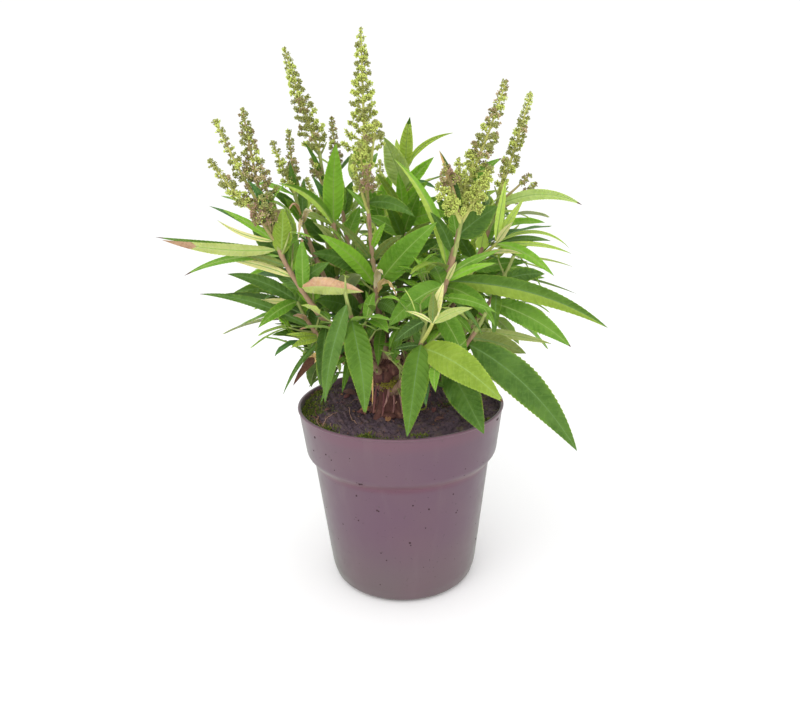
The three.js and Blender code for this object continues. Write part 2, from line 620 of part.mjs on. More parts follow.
// The place and shape of one leaf of a pair, by the seeded rule.
function ruleLeaf(curve, shoot, seed, turn, { s, climb, around, small }) {
  const along = curve.getTangent(s);
  const outward = sideways(curve).applyAxisAngle(along, radians(around));
  const spread = radians(mix(HABIT.lowSpread, HABIT.topSpread, climb) + 24 * (chance(seed, turn) - 0.5));
  const start = along.clone().multiplyScalar(Math.cos(spread)).addScaledVector(outward, Math.sin(spread));
  const point = curve.getPoint(s);
  const away = new THREE.Vector3(point.x, point.y, 0).normalize();
  const inner = mix(HABIT.innerLength, 1, (1 + away.dot(outward)) / 2);
  const grown = mix(1, HABIT.topLength, climb) * mix(0.86, 1.08, chance(seed, turn + 1));
  const length = shoot.longest * inner * grown * small;
  return {
    root: point.addScaledVector(start, -LEAF.rootSunk),
    start,
    droop: mix(HABIT.lowDroop, HABIT.topDroop, climb) * mix(0.7, 1.35, chance(seed, turn + 2)),
    length,
    width: length * LEAF.widthShare * mix(0.85, 1.15, chance(seed, turn + 3)),
    roll: 50 * (chance(seed, turn + 4) - 0.5),
    lowest: HABIT.lowestTip,
  };
}

// How many rings of corners a leaf of this length is drawn with.
function ringsFor(length) {
  return LEAF.ringLengths.filter((least) => length > least).length;
}

// Tries a leaf, then the same leaf a little turned, and skips it if none keeps clear.
function fitLeaf(owner, build) {
  for (let attempt = 0; attempt < LEAF.tries; attempt += 1) {
    const leaf = build(attempt);
    if (leafMidline(leaf).pointAt(1).z < leaf.lowest) continue;
    const blade = leafSolid(leaf, { from: LEAF.bladeFrom, extra: LEAF.margin });
    const whole = leafSolid(leaf, { rings: ringsFor(leaf.length) });
    if (isClear(blade) && isClear(whole, owner)) {
      take(owner, whole);
      return whole;
    }
  }
  return null;
}

// A placed leaf springs from its stem above the straight line to its tip, and bends down to it.
function placedLeaf(curve, row, attempt) {
  const root = curve.getPoint(Math.min(1, row.at + 0.012 * attempt));
  const reach = place(row).sub(root);
  const halfBend = radians(row.droop / 2);
  const aim = reach.clone().normalize();
  const start = aim.clone().multiplyScalar(Math.cos(halfBend))
    .addScaledVector(uprightOf(aim), Math.sin(halfBend));
  return {
    root: root.addScaledVector(start, -LEAF.rootSunk),
    start,
    droop: row.droop,
    length: reach.length() * halfBend / Math.sin(halfBend) * (1 - 0.04 * attempt),
    width: row.width,
    roll: row.roll ?? 0,
    lowest: POT.height - POT.collarHeight,
  };
}

// A short leafy twig in a leaf's axil, with two pairs of small leaves square to each other.
function sideTwig(curve, shoot, seed, turn, { s, climb, around }) {
  const along = curve.getTangent(s);
  const outward = sideways(curve).applyAxisAngle(along, radians(around + TWIG.besideLeaf));
  const direction = along.clone().multiplyScalar(TWIG.rise).add(outward).normalize();
  const start = curve.getPoint(s);
  const length = mix(TWIG.shortest, TWIG.longest, chance(seed, turn + 20));
  const end = start.clone().addScaledVector(direction, length);
  const line = new THREE.LineCurve3(start, end);
  const twig = limb(line, { rings: 1, sides: TWIG.sides, radiusAt: () => TWIG.radius });
  const small = HABIT.sideTwigLeaf;
  const leaves = TWIG.pairPlaces.flatMap((place, pair) => [0, 180].map((side) => (
    { line, s: place, climb, around: side + 90 * pair, small })));
  return { twig, leaves };
}

function growSideTwig(mass, shoot, seed, turn, node) {
  const owner = `foliage_${shoot.name}`;
  const { twig, leaves } = sideTwig(stems.get(shoot.name), shoot, seed, turn, node);
  if (!isClear(twig, owner)) return;
  take(owner, twig);
  mass.push(twig);
  leaves.forEach((young, i) => {
    const blade = fitLeaf(owner, (attempt) => ruleLeaf(young.line, shoot, seed,
      turn + 60 + 8 * i + attempt, young));
    if (blade) mass.push(blade);
  });
}

// One pair of opposite leaves, square to the last pair, each with a side twig now and then.
function growPair(mass, shoot, seed, pair) {
  const curve = stems.get(shoot.name);
  const owner = `foliage_${shoot.name}`;
  const climb = pair / (shoot.pairs - 1);
  const s = mix(HABIT.firstPair, HABIT.lastPair, climb);
  for (let half = 0; half < 2; half += 1) {
    const turn = 1000 * pair + 100 * half;
    const around = 90 * pair + 180 * half + 360 * chance(seed, 7) + 26 * (chance(seed, turn + 9) - 0.5);
    const leaf = fitLeaf(owner, (attempt) => ruleLeaf(curve, shoot, seed, turn + 5 * attempt,
      { s, climb, around: around + 14 * attempt, small: 1 }));
    if (leaf) mass.push(leaf);
    if (chance(seed, turn + 50) < HABIT.sideTwigChance) {
      growSideTwig(mass, shoot, seed, turn, { s, climb, around });
    }
  }
}

function growFoliage() {
  const masses = new Map();
  SHOOTS.forEach((shoot, seed) => {
    const curve = stems.get(shoot.name);
    const owner = `foliage_${shoot.name}`;
    const stem = leafyStem(curve);
    const spikes = shoot.spikes.flatMap((spike, i) => spikeSolids(curve, spike, 100 * seed + i));
    masses.set(owner, [stem, ...spikes]);
    take(owner, stem);
    if (spikes.length) take(owner, fuse(spikes));
  });
  for (const row of PLACED_LEAVES) {
    const owner = `foliage_${row.shoot}`;
    const leaf = fitLeaf(owner, (attempt) => placedLeaf(stems.get(row.shoot), row, attempt));
    if (leaf) masses.get(owner).push(leaf);
  }
  const mostPairs = Math.max(...SHOOTS.map(({ pairs }) => pairs));
  for (let pair = 0; pair < mostPairs; pair += 1) {
    SHOOTS.forEach((shoot, seed) => {
      if (pair < shoot.pairs) growPair(masses.get(`foliage_${shoot.name}`), shoot, seed, pair);
    });
  }
  return masses;
}

// ---------------------------------------------------------------- the plant, piece by piece

const pot = potSolid();
const soil = soilSolid();
addNode('pot', outerShell(pot), '#7d6774', 0.5);
addNode('soil', outerShell(soil), '#43333a', 0.95);
take('pot', pot);
take('soil', soil);

addNode('woody_base', outerShell(woodyBase()), '#7a5548', 0.9);
take('woody_base', woodyBase(GAP));

for (const shoot of SHOOTS.filter(({ foot }) => !foot.on).concat(SHOOTS.filter(({ foot }) => foot.on))) {
  const curve = stemCurve(shoot);
  stems.set(shoot.name, curve);
  const limbs = taken.filter(({ owner }) => owner === 'woody_base' || owner.startsWith('bough_'));
  const trimmed = limbs.reduce((solid, other) => solid.subtract(other.solid), boughSolid(curve));
  addNode(`bough_${shoot.name}`, outerShell(trimmed), '#8a6a58', 0.85);
  take(`bough_${shoot.name}`, boughSolid(curve, GAP));
}

for (const [name, solids] of growFoliage()) {
  addNode(name, outerShell(fuse(solids)), '#5f9440', 0.6);
}

export default group;
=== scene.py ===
import math
from collections import namedtuple

import bmesh
import bpy
import numpy as np
from mathutils import Matrix
from mathutils.bvhtree import BVHTree


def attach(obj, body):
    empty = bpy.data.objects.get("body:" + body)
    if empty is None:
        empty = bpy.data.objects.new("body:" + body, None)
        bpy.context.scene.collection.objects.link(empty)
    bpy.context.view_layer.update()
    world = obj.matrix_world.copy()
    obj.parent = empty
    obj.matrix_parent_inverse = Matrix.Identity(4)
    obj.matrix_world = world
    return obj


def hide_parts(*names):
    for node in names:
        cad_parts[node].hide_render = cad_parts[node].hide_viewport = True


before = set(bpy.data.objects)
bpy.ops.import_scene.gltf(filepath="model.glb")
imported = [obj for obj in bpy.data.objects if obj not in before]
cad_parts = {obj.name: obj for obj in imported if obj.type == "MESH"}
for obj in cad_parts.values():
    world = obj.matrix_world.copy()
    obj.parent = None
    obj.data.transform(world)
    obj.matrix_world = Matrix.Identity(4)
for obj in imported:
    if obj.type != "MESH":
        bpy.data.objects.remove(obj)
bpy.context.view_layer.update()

# A young butterfly bush in its nursery pot.  Sizes are millimetres until a mesh is made.
# Bearings are degrees round the pot's axis: 0 is +X (right), 90 is +Y (back), 270 the front.

MM = 0.001
GAP = 0.3
UP = np.array([0.0, 0.0, 1.0])
RIGHTWARD = np.array([1.0, 0.0, 0.0])

POT = dict(height=153.0, rim=85.0, collar_foot=79.5, collar_height=38.7, shoulder=7.0,
           body_top=73.7, body_foot=62.6, foot=55.4, foot_curve=12.0, wall=1.8, floor=2.4,
           drain_holes=8, drain_radius=5.0, drain_ring=40.0)
SOIL = dict(edge_drop=4.6, dome_drop=5.7)
SOIL_TOP = POT["height"] - SOIL["dome_drop"]
SOIL_EDGE = POT["height"] - SOIL["edge_drop"]
BASE = dict(foot=(-10.0, -15.0), head=(-5.0, -8.0), height=46.0)
STEM = dict(foot_radius=3.3, tip_radius=1.2, taper=0.8, foot_ring=5.0, knee=(0.78, 0.42),
            bough_share=0.36)
TWIG = dict(knee=0.55, bend=0.2, foot_radius=1.0, tip_radius=0.5, rise=0.75, inner_rise=0.8,
            shortest=14.0, longest=38.0, third_pair=26.0, inner_leaf=58.0, leaf_over_soil=8.0)
LEAF = dict(width_share=0.27, root_sunk=0.15, teeth=0.06, fine=50.0, large=52.0, middle=24.0,
            thick_from=40.0, thickness=0.34, thin=0.24, sketch_thickness=0.3, next_seat=0.012)
# Of a leaf's sheet: how far rows lean ahead towards the rim, the midrib, the side veins, the
# swelling between them, and how much thicker the midrib and the root are.
SHEET = dict(slant=0.05, tooth_lean=0.4, rib_root=0.5, rib_tip=0.14, rib_share=0.35,
             fewest_veins=8, vein_gap=11.0, vein_lean=0.8, swell=0.008, groove=0.2,
             rib_depth=1.2, root_depth=2.6, root_end=0.12)
# What a leaf may have of its own, for leaves with a place and for leaves of the rule.
PLACED_RANGE = dict(fold=(0.1, 0.32), twist=26, sway=0.05)
RULE_RANGE = dict(fold=(0.08, 0.36), twist=60, sway=0.14)
# For another attempt at a leaf: how often, by how many degrees it turns, how much shorter it is.
TRIES = dict(placed=4, pair=6, twig=5)
TRY_TURN = dict(pair=14, twig=17)
TRY_SHORTER = dict(placed=0.04, pair=0.04, twig=0.09)
HABIT = dict(low_spread=66.0, top_spread=42.0, low_droop=46.0, top_droop=28.0, top_length=0.46,
             inner_length=0.68, first_pair=0.4, last_pair=0.985, lowest_tip=160.0,
             spread_range=24, length_range=(0.86, 1.08), droop_range=(0.7, 1.35),
             width_range=(0.95, 1.25), roll_range=50, dried_share=0.08, dried_from=0.86,
             felted_share=0.12, blue_share=0.1)
INNER_TWIGS = (0.15, 0.21, 0.27, 0.33, 0.42, 0.5, 0.58)
SPIKE = dict(knee=(0.55, 0.45), axis_foot=1.3, axis_tip=0.55, axis_sides=7, tip_half_width=2.4,
             foot_bunch=2.2, tip_bunch=1.55, foot_step=4.5, tip_step=2.7, bud=(1.1, 1.9),
             stalk=(0.6, 0.5, 0.4), left_of=-15.0)
SEEDS = dict(leaves=41, spikes=900, stems=300, trunk=5, trunk_strings=6, knuckles=40,
             knuckle_strings=50, cuts=20, lichen=31, litter=12, specks=77)

# A shoot: the tip of its leafy stem (bearing, reach, height), its leaf pairs, its longest leaf, its
# foot (bearing and height on the base, or another stem and the place on its bough) and its spikes.
# A spike: its place on the stem, then the bearing, reach and height of its tip, its length, width
# and tone.
Shoot = namedtuple("Shoot", "tip pairs longest foot spikes")
Spike = namedtuple("Spike", "seat bearing reach height length width tone")
SHOOTS = {
    "centre": Shoot((192, 23, 336), 7, 92, (205, 190), [
        Spike(1, 192, 23, 436, 90, 37, "lime"), Spike(0.92, 247, 33, 372, 15, 20, "tan"),
        Spike(0.9, 234, 43, 357, 22, 20, "lime"), Spike(0.84, 245, 46, 341, 24, 13, "rust"),
        Spike(0.82, 222, 40, 344, 22, 12, "olive")]),
    "back_left_tall": Shoot((154, 67, 353), 7, 92, (150, 184), [
        Spike(1, 156, 92, 431, 90, 27, "olive"), Spike(0.84, 163, 69, 348, 16, 14, "brown")]),
    "back_left": Shoot((126, 84, 338), 5, 84, ("back_left_tall", 0.55), [
        Spike(1, 127, 88, 381, 38, 14, "brown")]),
    "left": Shoot((205, 103, 311), 7, 96, (210, 181), [
        Spike(1, 204, 112, 380, 66, 30, "brown"), Spike(1, 204, 131, 373, 42, 13, "olive"),
        Spike(0.93, 206, 138, 347, 38, 15, "olive"), Spike(0.9, 213, 109, 324, 20, 20, "brown"),
        Spike(0.86, 211, 115, 318, 18, 16, "rust"), Spike(0.86, 209, 100, 318, 18, 18, "brown")]),
    "left_back": Shoot((172, 80, 322), 6, 92, (176, 186), [
        Spike(1, 174, 94, 361, 36, 14, "olive"), Spike(0.97, 164, 86, 369, 38, 12, "brown")]),
    "right": Shoot((335, 58, 328), 7, 92, (335, 186), [
        Spike(1, 346, 82, 397, 66, 27, "tan"), Spike(0.9, 323, 56, 345, 28, 16, "lime"),
        Spike(0.93, 336, 63, 351, 32, 16, "lime"), Spike(0.9, 346, 73, 340, 26, 14, "lime"),
        Spike(0.84, 321, 64, 334, 22, 14, "lime")]),
    "right_outer": Shoot((9, 82, 318), 6, 96, (8, 180), [
        Spike(1, 11, 107, 393, 62, 19, "olive"), Spike(1, 352, 83, 344, 24, 10, "tan"),
        Spike(0.95, 8, 106, 332, 10, 8, "brown")]),
    "right_back": Shoot((32, 98, 300), 6, 94, ("back_right", 0.5), [
        Spike(1, 24, 129, 324, 24, 10, "brown")]),
    "back_centre": Shoot((82, 58, 338), 7, 90, (85, 188), [
        Spike(1, 79, 61, 374, 28, 9, "olive")]),
    "front_right": Shoot((312, 68, 304), 6, 96, (305, 177), [
        Spike(1, 301, 65, 342, 16, 19, "rust"), Spike(1, 294, 68, 329, 22, 18, "lime"),
        Spike(0.98, 329, 78, 338, 34, 24, "lime"), Spike(0.98, 300, 70, 325, 20, 18, "lime")]),
    "back_right": Shoot((56, 110, 300), 6, 104, (48, 180), [
        Spike(1, 53, 124, 338, 40, 16, "olive")]),
    "back": Shoot((98, 106, 306), 6, 108, (108, 178), [Spike(1, 97, 116, 346, 42, 18, "lime")]),
    "back_left_low": Shoot((128, 110, 296), 6, 108, (130, 172), [
        Spike(1, 131, 122, 332, 36, 14, "olive")]),
    "right_low": Shoot((354, 90, 272), 6, 108, (350, 170), []),
    "front": Shoot((284, 78, 238), 5, 96, (285, 166), []),
    "left_low": Shoot((194, 80, 242), 5, 108, (192, 170), []),
    "left_back_low": Shoot((154, 104, 262), 6, 108, (156, 167), []),
    "front_left": Shoot((243, 80, 258), 6, 100, (245, 176), []),
    "front_right_low": Shoot((318, 84, 238), 5, 104, (320, 166), []),
    "back_low": Shoot((72, 96, 262), 6, 108, (75, 168), []),
}

# Young shoots: the stem and the place on it that they spring from, and where they end.
SPRIGS = {
    "cream": ("front", 0.79, 284, 93, 239),
    "yellow": ("right_outer", 0.68, 357, 77, 281),
}

# The camera at the front of the plant: its place, how far it looks down and leans (degrees), its
# lens and its frame in pixels.
CAMERA = dict(place=np.array([0.4, -524.0, 342.0]), pitch=15.7, lean=-1.27, lens=30.0,
              sensor=36.0, frame=(800, 703))

# The parts of stems that stay open to the front.
OPEN_STEMS = {"centre": (0.62, 0.93), "left": (0.6, 0.86), "right": (0.6, 0.92),
              "front_right": (0.74, 0.9), "back_left_tall": (0.74, 0.86)}

# Leaves with a place of their own, by shoot: where the camera's frame shows the root (on the
# shoot) and the tip, the depth of the tip (y), the width, the droop in degrees, the colour of the
# blade and, for some, a second colour: that of the end and where it begins, or of one side.  The
# blade colours are in part painted light and shade, and a second colour on one side is in part
# painted light and shade on that half of the leaf.  A leaf that finds no room is left out.
Leaf = namedtuple("Leaf", "shoot root tip depth width droop colour end", defaults=(None,))
PLACED_LEAVES = [Leaf(shoot, *row) for shoot, *rows in (
    # low front
    ("front_right_low", ((467, 344), (577, 451), -104, 27, 40, "deep")),
    ("front", ((428, 350), (503, 402), -125, 24, 34, "fresh", ("brown", 0.95))),
    ("front_right_low", ((452, 372), (484, 434), -84, 26, 20, "deep")),
    ("front", ((418, 342), (407, 437), -114, 20, 26, "leaf")),
    ("front_left", ((367, 312), (365, 415), -108, 19, 34, "leaf", ("brown", 0.96)),
     ((345, 303), (325, 403), -94, 13, 28, "deep")),
    ("left", ((330, 320), (322, 388), -70, 12, 30, "shade")),
    ("centre", ((375, 330), (378, 366), -60, 9, 30, "green")),
    ("left", ((352, 350), (342, 393), -72, 7, 26, "leaf")),
    ("left_low", ((318, 345), (283, 395), -45, 4, 50, "deep"),
     ((325, 350), (293, 386), -30, 8, 34, "husk", ("brown", 0.3)),
     ((325, 345), (320, 386), -32, 10, 24, "leaf")),
    ("right_low", ((505, 312), (571, 347), -35, 18, 28, "green", ("brown", 0.96)),
     ((506, 282), (545, 274), -20, 14, 30, "deep")),
    ("right", ((452, 284), (608, 328), -45, 16, 30, "leaf", ("fresh", "lower"))),
    ("right_back", ((470, 280), (545, 278), 40, 14, 24, "green")),
    ("right_low", ((468, 335), (552, 344), -10, 8, 18, "pale"),
     ((500, 292), (493, 341), -50, 8, 70, "leaf", ("brown", 0.97))),
    ("front_right_low", ((478, 347), (531, 355), -50, 15, 24, "olive"),
     ((465, 342), (508, 361), -66, 9, 24, "deep")),
    ("front_right", ((455, 318), (467, 366), -74, 17, 40, "green"),
     ((476, 305), (483, 336), -62, 4, 40, "deep")),
    ("right", ((445, 288), (495, 326), -52, 13, 60, "green")),
    ("front_right", ((462, 306), (497, 313), -72, 8, 30, "green")),
    ("front", ((424, 318), (394, 342), -78, 10, 26, "shade"),
     ((420, 345), (393, 350), -70, 6, 20, "shade")),
    # centre
    ("front_right", ((436, 282), (388, 327), -62, 19, 40, "green")),
    ("centre", ((378, 288), (437, 222), -50, 22, 18, "green"),
     ((371, 288), (318, 234), -55, 13, 34, "bright"), ((366, 262), (330, 218), -42, 6, 22, "olive"),
     ((369, 250), (386, 222), -22, 6, 18, "bright"), ((371, 262), (403, 235), -30, 8, 24, "olive"),
     ((371, 203), (415, 217), -30, 11, 50, "deep"), ((360, 275), (312, 253), -30, 17, 26, "deep")),
    ("back_left_tall", ((366, 312), (316, 300), -50, 20, 20, "deep")),
    ("centre", ((372, 305), (398, 318), -60, 12, 26, "deep")),
    ("back_left_tall", ((350, 246), (313, 222), -6, 6, 20, "pale")),
    ("right", ((440, 250), (430, 212), -35, 10, 26, "deep")),
    # cream tuft and the second tuft
    ("cream", ((432, 322), (405, 311), -95, 3, 40, "cream"),
     ((432, 322), (428, 290), -90, 7, 16, "olive"), ((433, 322), (444, 282), -88, 8, 16, "cream"),
     ((434, 322), (464, 303), -94, 2, 40, "dry"), ((434, 324), (473, 308), -92, 7, 30, "pale")),
    ("front_right", ((437, 280), (457, 261), -60, 4, 14, "cream"),
     ((438, 279), (497, 263), -62, 6, 30, "bright"), ((440, 274), (500, 250), -55, 7, 30, "green")),
    # upper middle
    ("back_left_tall", ((347, 222), (336, 143), -6, 18, 14, "bright"),
     ((328, 182), (303, 141), 5, 4, 22, "leaf"),
     ((345, 224), (279, 184), -24, 8, 58, "vivid", ("green", "upper"))),
    ("back_centre", ((404, 190), (384, 137), 20, 20, 14, "soft"),
     ((405, 165), (410, 117), 24, 12, 14, "lime", ("deep", 0.84))),
    ("right", ((446, 270), (393, 158), -10, 9, 42, "lime", ("bright", "upper"))),
    ("back_centre", ((410, 168), (453, 133), 35, 5, 60, "lime"),
     ((415, 190), (434, 157), 45, 11, 20, "bright"), ((404, 222), (375, 172), -8, 7, 40, "fresh")),
    ("front_right", ((461, 219), (439, 150), -44, 9, 12, "husk", ("shade", "upper"))),
    ("back_centre", ((425, 225), (450, 215), -10, 14, 26, "bright")),
    # right
    ("right", ((461, 238), (498, 206), -28, 24, 20, "deep")),
    ("right_outer", ((478, 250), (485, 232), 0, 11, 20, "vivid")),
    ("yellow", ((496, 243), (506, 178), -8, 7, 8, "vivid"),
     ((498, 243), (513, 222), -14, 6, 10, "cream"), ((500, 240), (524, 198), -2, 7, 10, "lime"),
     ((500, 240), (569, 248), -4, 3, 80, "lime"), ((498, 252), (572, 254), -10, 4, 34, "lime"),
     ((500, 246), (551, 241), 25, 6, 20, "deep", ("brown", 0.95)),
     ((505, 250), (554, 276), -14, 9, 44, "bright", ("brown", 0.97)),
     ((494, 264), (523, 254), -24, 4, 16, "cream")),
    ("right_outer", ((482, 276), (528, 262), 10, 11, 20, "green")),
    ("right_low", ((518, 272), (541, 289), -6, 3, 90, "green"),
     ((530, 265), (573, 267), 10, 2, 26, "pale"), ((525, 285), (577, 294), 5, 2, 20, "olive")),
    ("right_outer", ((508, 210), (582, 205), 2, 9, 56, "soft", ("brown", 0.93))),
    # left
    ("left", ((293, 250), (283, 208), -52, 15, 16, "fresh"),
     ((302, 293), (302, 238), -62, 11, 14, "green", ("tan", 0.9)),
     ((273, 252), (162, 240), -62, 9, -18, "pale", ("tan", 0.7)),
     ((270, 262), (184, 276), -50, 6, 30, "green", ("brown", 0.9)),
     ((258, 250), (222, 209), -40, 6, 20, "bright", ("tan", 0.95)),
     ((262, 250), (209, 206), -36, 5, 26, "blue"), ((276, 243), (247, 180), -72, 8, 56, "blue"),
     ((268, 258), (155, 237), -48, 5, 3, "leaf", ("brown", 0.93)),
     ((256, 250), (217, 220), -46, 4, -30, "cream"), ((294, 262), (251, 226), -18, 20, 26, "deep"),
     ((270, 277), (240, 254), -48, 6, 22, "olive"), ((285, 284), (228, 256), -30, 7, 24, "olive"),
     ((278, 287), (222, 258), -42, 6, 20, "cream", ("tan", 0.82))),
    ("left_low", ((287, 304), (227, 274), -35, 11, 28, "deep", ("brown", 0.95)),
     ((302, 336), (199, 294), -45, 8, 26, "deep", ("brown", 0.96)),
     ((284, 326), (223, 294), -26, 11, 28, "shade", ("brown", 0.95)),
     ((290, 302), (258, 328), -52, 10, 30, "green"), ((285, 310), (254, 301), -30, 5, 16, "cream")),
    ("left", ((292, 296), (268, 268), -28, 10, 20, "deep")),
    ("left_low", ((320, 338), (291, 348), -40, 7, 30, "lime"),
     ((322, 334), (296, 338), -42, 4, 24, "lime"), ((320, 340), (282, 334), -38, 4, 20, "lime")),
    ("left_back", ((302, 190), (290, 162), 4, 6, 14, "deep")),
    ("back_left_tall", ((306, 184), (309, 167), 25, 5, 14, "blue")),
    ("left", ((303, 285), (364, 292), -64, 16, 24, "dry", ("pale", "lower"))),
    ("left_back", ((298, 226), (312, 212), -40, 6, 40, "tallow"),
     ((303, 224), (298, 240), -40, 4, 70, "tallow"), ((300, 220), (290, 209), -42, 3, 60, "dry")),
    ("centre", ((374, 292), (366, 270), -36, 7, 120, "tallow"),
     ((374, 296), (383, 275), -42, 7, 110, "tallow"),
     ((374, 300), (396, 296), -44, 6, 130, "husk")),
    ("left_low", ((310, 320), (293, 316), -40, 5, 40, "dry")),
    ("front_left", ((362, 318), (372, 406), -78, 3, 60, "husk")),
    ("right", ((476, 178), (502, 158), -18, 7, 18, "green", ("brown", 0.85))),
    ("back_centre", ((404, 206), (428, 182), 28, 10, 20, "bright"),
     ((405, 222), (440, 196), 20, 11, 20, "green")),
    ("centre", ((369, 212), (346, 188), -8, 5, 22, "green"),
     ((369, 205), (352, 176), -8, 4, 20, "olive")),
    ("back_left_tall", ((330, 205), (312, 176), 18, 6, 20, "blue")),
    ("right", ((444, 236), (452, 205), -30, 10, 18, "green")),
    ("back_centre", ((402, 240), (384, 200), 15, 10, 16, "leaf"),
     ((415, 262), (446, 238), 10, 11, 20, "deep")),
    ("left_back", ((300, 225), (283, 196), -20, 7, 18, "green")),
    ("back_centre", ((408, 235), (420, 192), 2, 12, 14, "green"),
     ((404, 222), (398, 172), 30, 11, 12, "bright")),
    ("right", ((444, 240), (424, 206), -12, 9, 18, "shade")),
    ("left", ((300, 285), (330, 262), -40, 11, 24, "deep")),
    ("left_back", ((300, 215), (268, 190), -30, 8, 20, "deep")),
    # behind
    ("back", ((381, 229), (366, 182), 92, 14, 14, "green"),
     ((380, 210), (392, 172), 96, 14, 14, "bright")),
    ("back_left", ((341, 205), (314, 172), 50, 9, 20, "green")),
    ("left_back", ((302, 223), (304, 178), 20, 9, 14, "deep")),
    ("back_left", ((342, 214), (336, 160), 44, 10, 14, "green"),
     ((344, 222), (354, 176), 60, 13, 14, "leaf"), ((341, 205), (328, 164), 66, 11, 14, "green"),
     ((346, 240), (360, 206), 50, 13, 18, "green")),
    ("back_right", ((459, 234), (436, 196), 84, 14, 16, "leaf"),
     ((462, 220), (454, 178), 90, 13, 14, "green")),
    ("back_centre", ((403, 236), (368, 216), 50, 13, 20, "green"),
     ((401, 259), (376, 240), 40, 12, 20, "deep")),
    ("back_left_low", ((326, 243), (292, 214), 70, 14, 20, "deep"),
     ((333, 262), (298, 240), 66, 14, 20, "shade"), ((338, 280), (316, 262), 60, 13, 20, "deep")),
    ("right_back", ((479, 254), (500, 214), 50, 12, 16, "green"),
     ((474, 264), (452, 228), 44, 13, 18, "leaf")),
    ("back", ((382, 254), (394, 216), 84, 14, 16, "leaf")),
) for row in rows]

# Boxes that the leaves of the rule keep out of, by their low and high corners: before the woody
# foot, under the crown on both sides, over the lip in front, and round the tall spikes.
OPEN_SPACE = np.array([
    ((-32, -140, 0), (4, -20, 206)), ((-220, -200, 0), (-80, 16, 204)),
    ((-220, 16, 0), (-92, 90, 204)), ((93, -200, 0), (220, 40, 190)),
    ((4, -150, 0), (62, -24, 172)), ((-95, -20, 350), (-48, 60, 440)),
    ((58, -40, 322), (130, 40, 440)), ((26, -80, 332), (90, 0, 440)),
], float)

# How far from the axis a leaf's tip may lie (second row) at a height (first row).
CROWN = np.array([(120, 170, 220, 280, 320, 350, 380, 400),
                  (112, 132, 150, 158, 142, 112, 74, 0)], float)

VIEW = dict(near=4.0, far=230.0, width=0.6)


# ------------------------------------------------------------------ numbers, curves and turns

def chance(seed, turn):
    """A number from 0 to 1 that is always the same for one seed and turn (an integer hash)."""
    mask = 0xFFFFFFFF
    value = (((seed + 1) * 0x9E3779B1) ^ ((turn + 1) * 0x85EBCA6B)) & mask
    value = ((value ^ (value >> 16)) * 0x7FEB352D) & mask
    value = ((value ^ (value >> 15)) * 0x846CA68B) & mask
    return (value ^ (value >> 16)) / 4294967296


def mix(low, high, share):
    return low + (high - low) * share


def ease(share):
    share = np.clip(share, 0.0, 1.0)
    return share * share * (3.0 - 2.0 * share)


def unit(vectors):
    vectors = np.asarray(vectors, float)
    return vectors / np.maximum(np.linalg.norm(vectors, axis=-1, keepdims=True), 1e-9)


def turns(count):
    """Angles at even steps round a ring."""
    return np.linspace(0, 2 * math.pi, count, endpoint=False)


def place(bearing, reach, height):
    angle = math.radians(bearing)
    return np.array([reach * math.cos(angle), reach * math.sin(angle), float(height)])


def spun(vector, axis, degrees):
    """`vector` turned about the unit vector `axis` (Rodrigues' formula)."""
    angle = math.radians(degrees)
    return (vector * math.cos(angle) + np.cross(axis, vector) * math.sin(angle)
            + axis * np.dot(axis, vector) * (1.0 - math.cos(angle)))


def bowed(start, tip, knee):
    """A quadratic curve that goes out by knee[0] and up by knee[1] of its way at its knee."""
    middle = mix(start, tip, np.array([knee[0], knee[0], knee[1]]))
    return np.array([start, middle, tip])


def at(curve, s):
    s = np.asarray(s, float)[..., None]
    return (1 - s) ** 2 * curve[0] + 2 * s * (1 - s) * curve[1] + s ** 2 * curve[2]


def heading(curve, s):
    s = np.asarray(s, float)[..., None]
    return unit(2 * (1 - s) * (curve[1] - curve[0]) + 2 * s * (curve[2] - curve[1]))


def sideways(curve):
    """A direction square to the whole of a bent limb."""
    start = heading(curve, 0.0)
    square = np.cross(start, heading(curve, 1.0))
    if np.linalg.norm(square) > 1e-3:
        return unit(square)
    helper = np.array([1.0, 0, 0]) if abs(start[0]) < 0.8 else np.array([0, 1.0, 0])
    return unit(np.cross(helper, start))


def upright_of(direction):
    """The direction square to `direction` that points most nearly upwards."""
    upright = UP - direction * direction[..., 2:3]
    return unit(upright) if np.linalg.norm(upright) > 0.02 else np.array([0, 1.0, 0])


def camera_axes():
    """The camera's ahead, right and upward directions."""
    pitch, lean = math.radians(CAMERA["pitch"]), math.radians(CAMERA["lean"])
    ahead = np.array([0, math.cos(pitch), -math.sin(pitch)])
    high = np.cross([1.0, 0, 0], ahead)
    right = np.array([1.0, 0, 0]) * math.cos(lean) + high * math.sin(lean)
    return ahead, right, np.cross(right, ahead)


AHEAD, RIGHT, ABOVE = camera_axes()
FOCAL = CAMERA["frame"][0] * CAMERA["lens"] / CAMERA["sensor"]
MIDDLE = np.array(CAMERA["frame"]) / 2


def seen(points):
    """Where the camera's frame shows the points, in pixels."""
    rays = np.asarray(points, float) - CAMERA["place"]
    across = np.stack([rays @ RIGHT, -(rays @ ABOVE)], axis=-1)
    return MIDDLE + FOCAL * across / (rays @ AHEAD)[..., None]


def sight(pixel, depth):
    """The place at a depth (y) that the camera's frame shows at a pixel."""
    x, y = np.array(pixel) - MIDDLE
    ray = AHEAD + (RIGHT * x - ABOVE * y) / FOCAL
    return CAMERA["place"] + ray * (depth - CAMERA["place"][1]) / ray[1]


def seat(curve, pixel):
    """The place (0 to 1) on a curve that shows nearest to a pixel."""
    s = np.linspace(0.12, 1, 300)
    return float(s[np.linalg.norm(seen(at(curve, s)) - pixel, axis=1).argmin()])


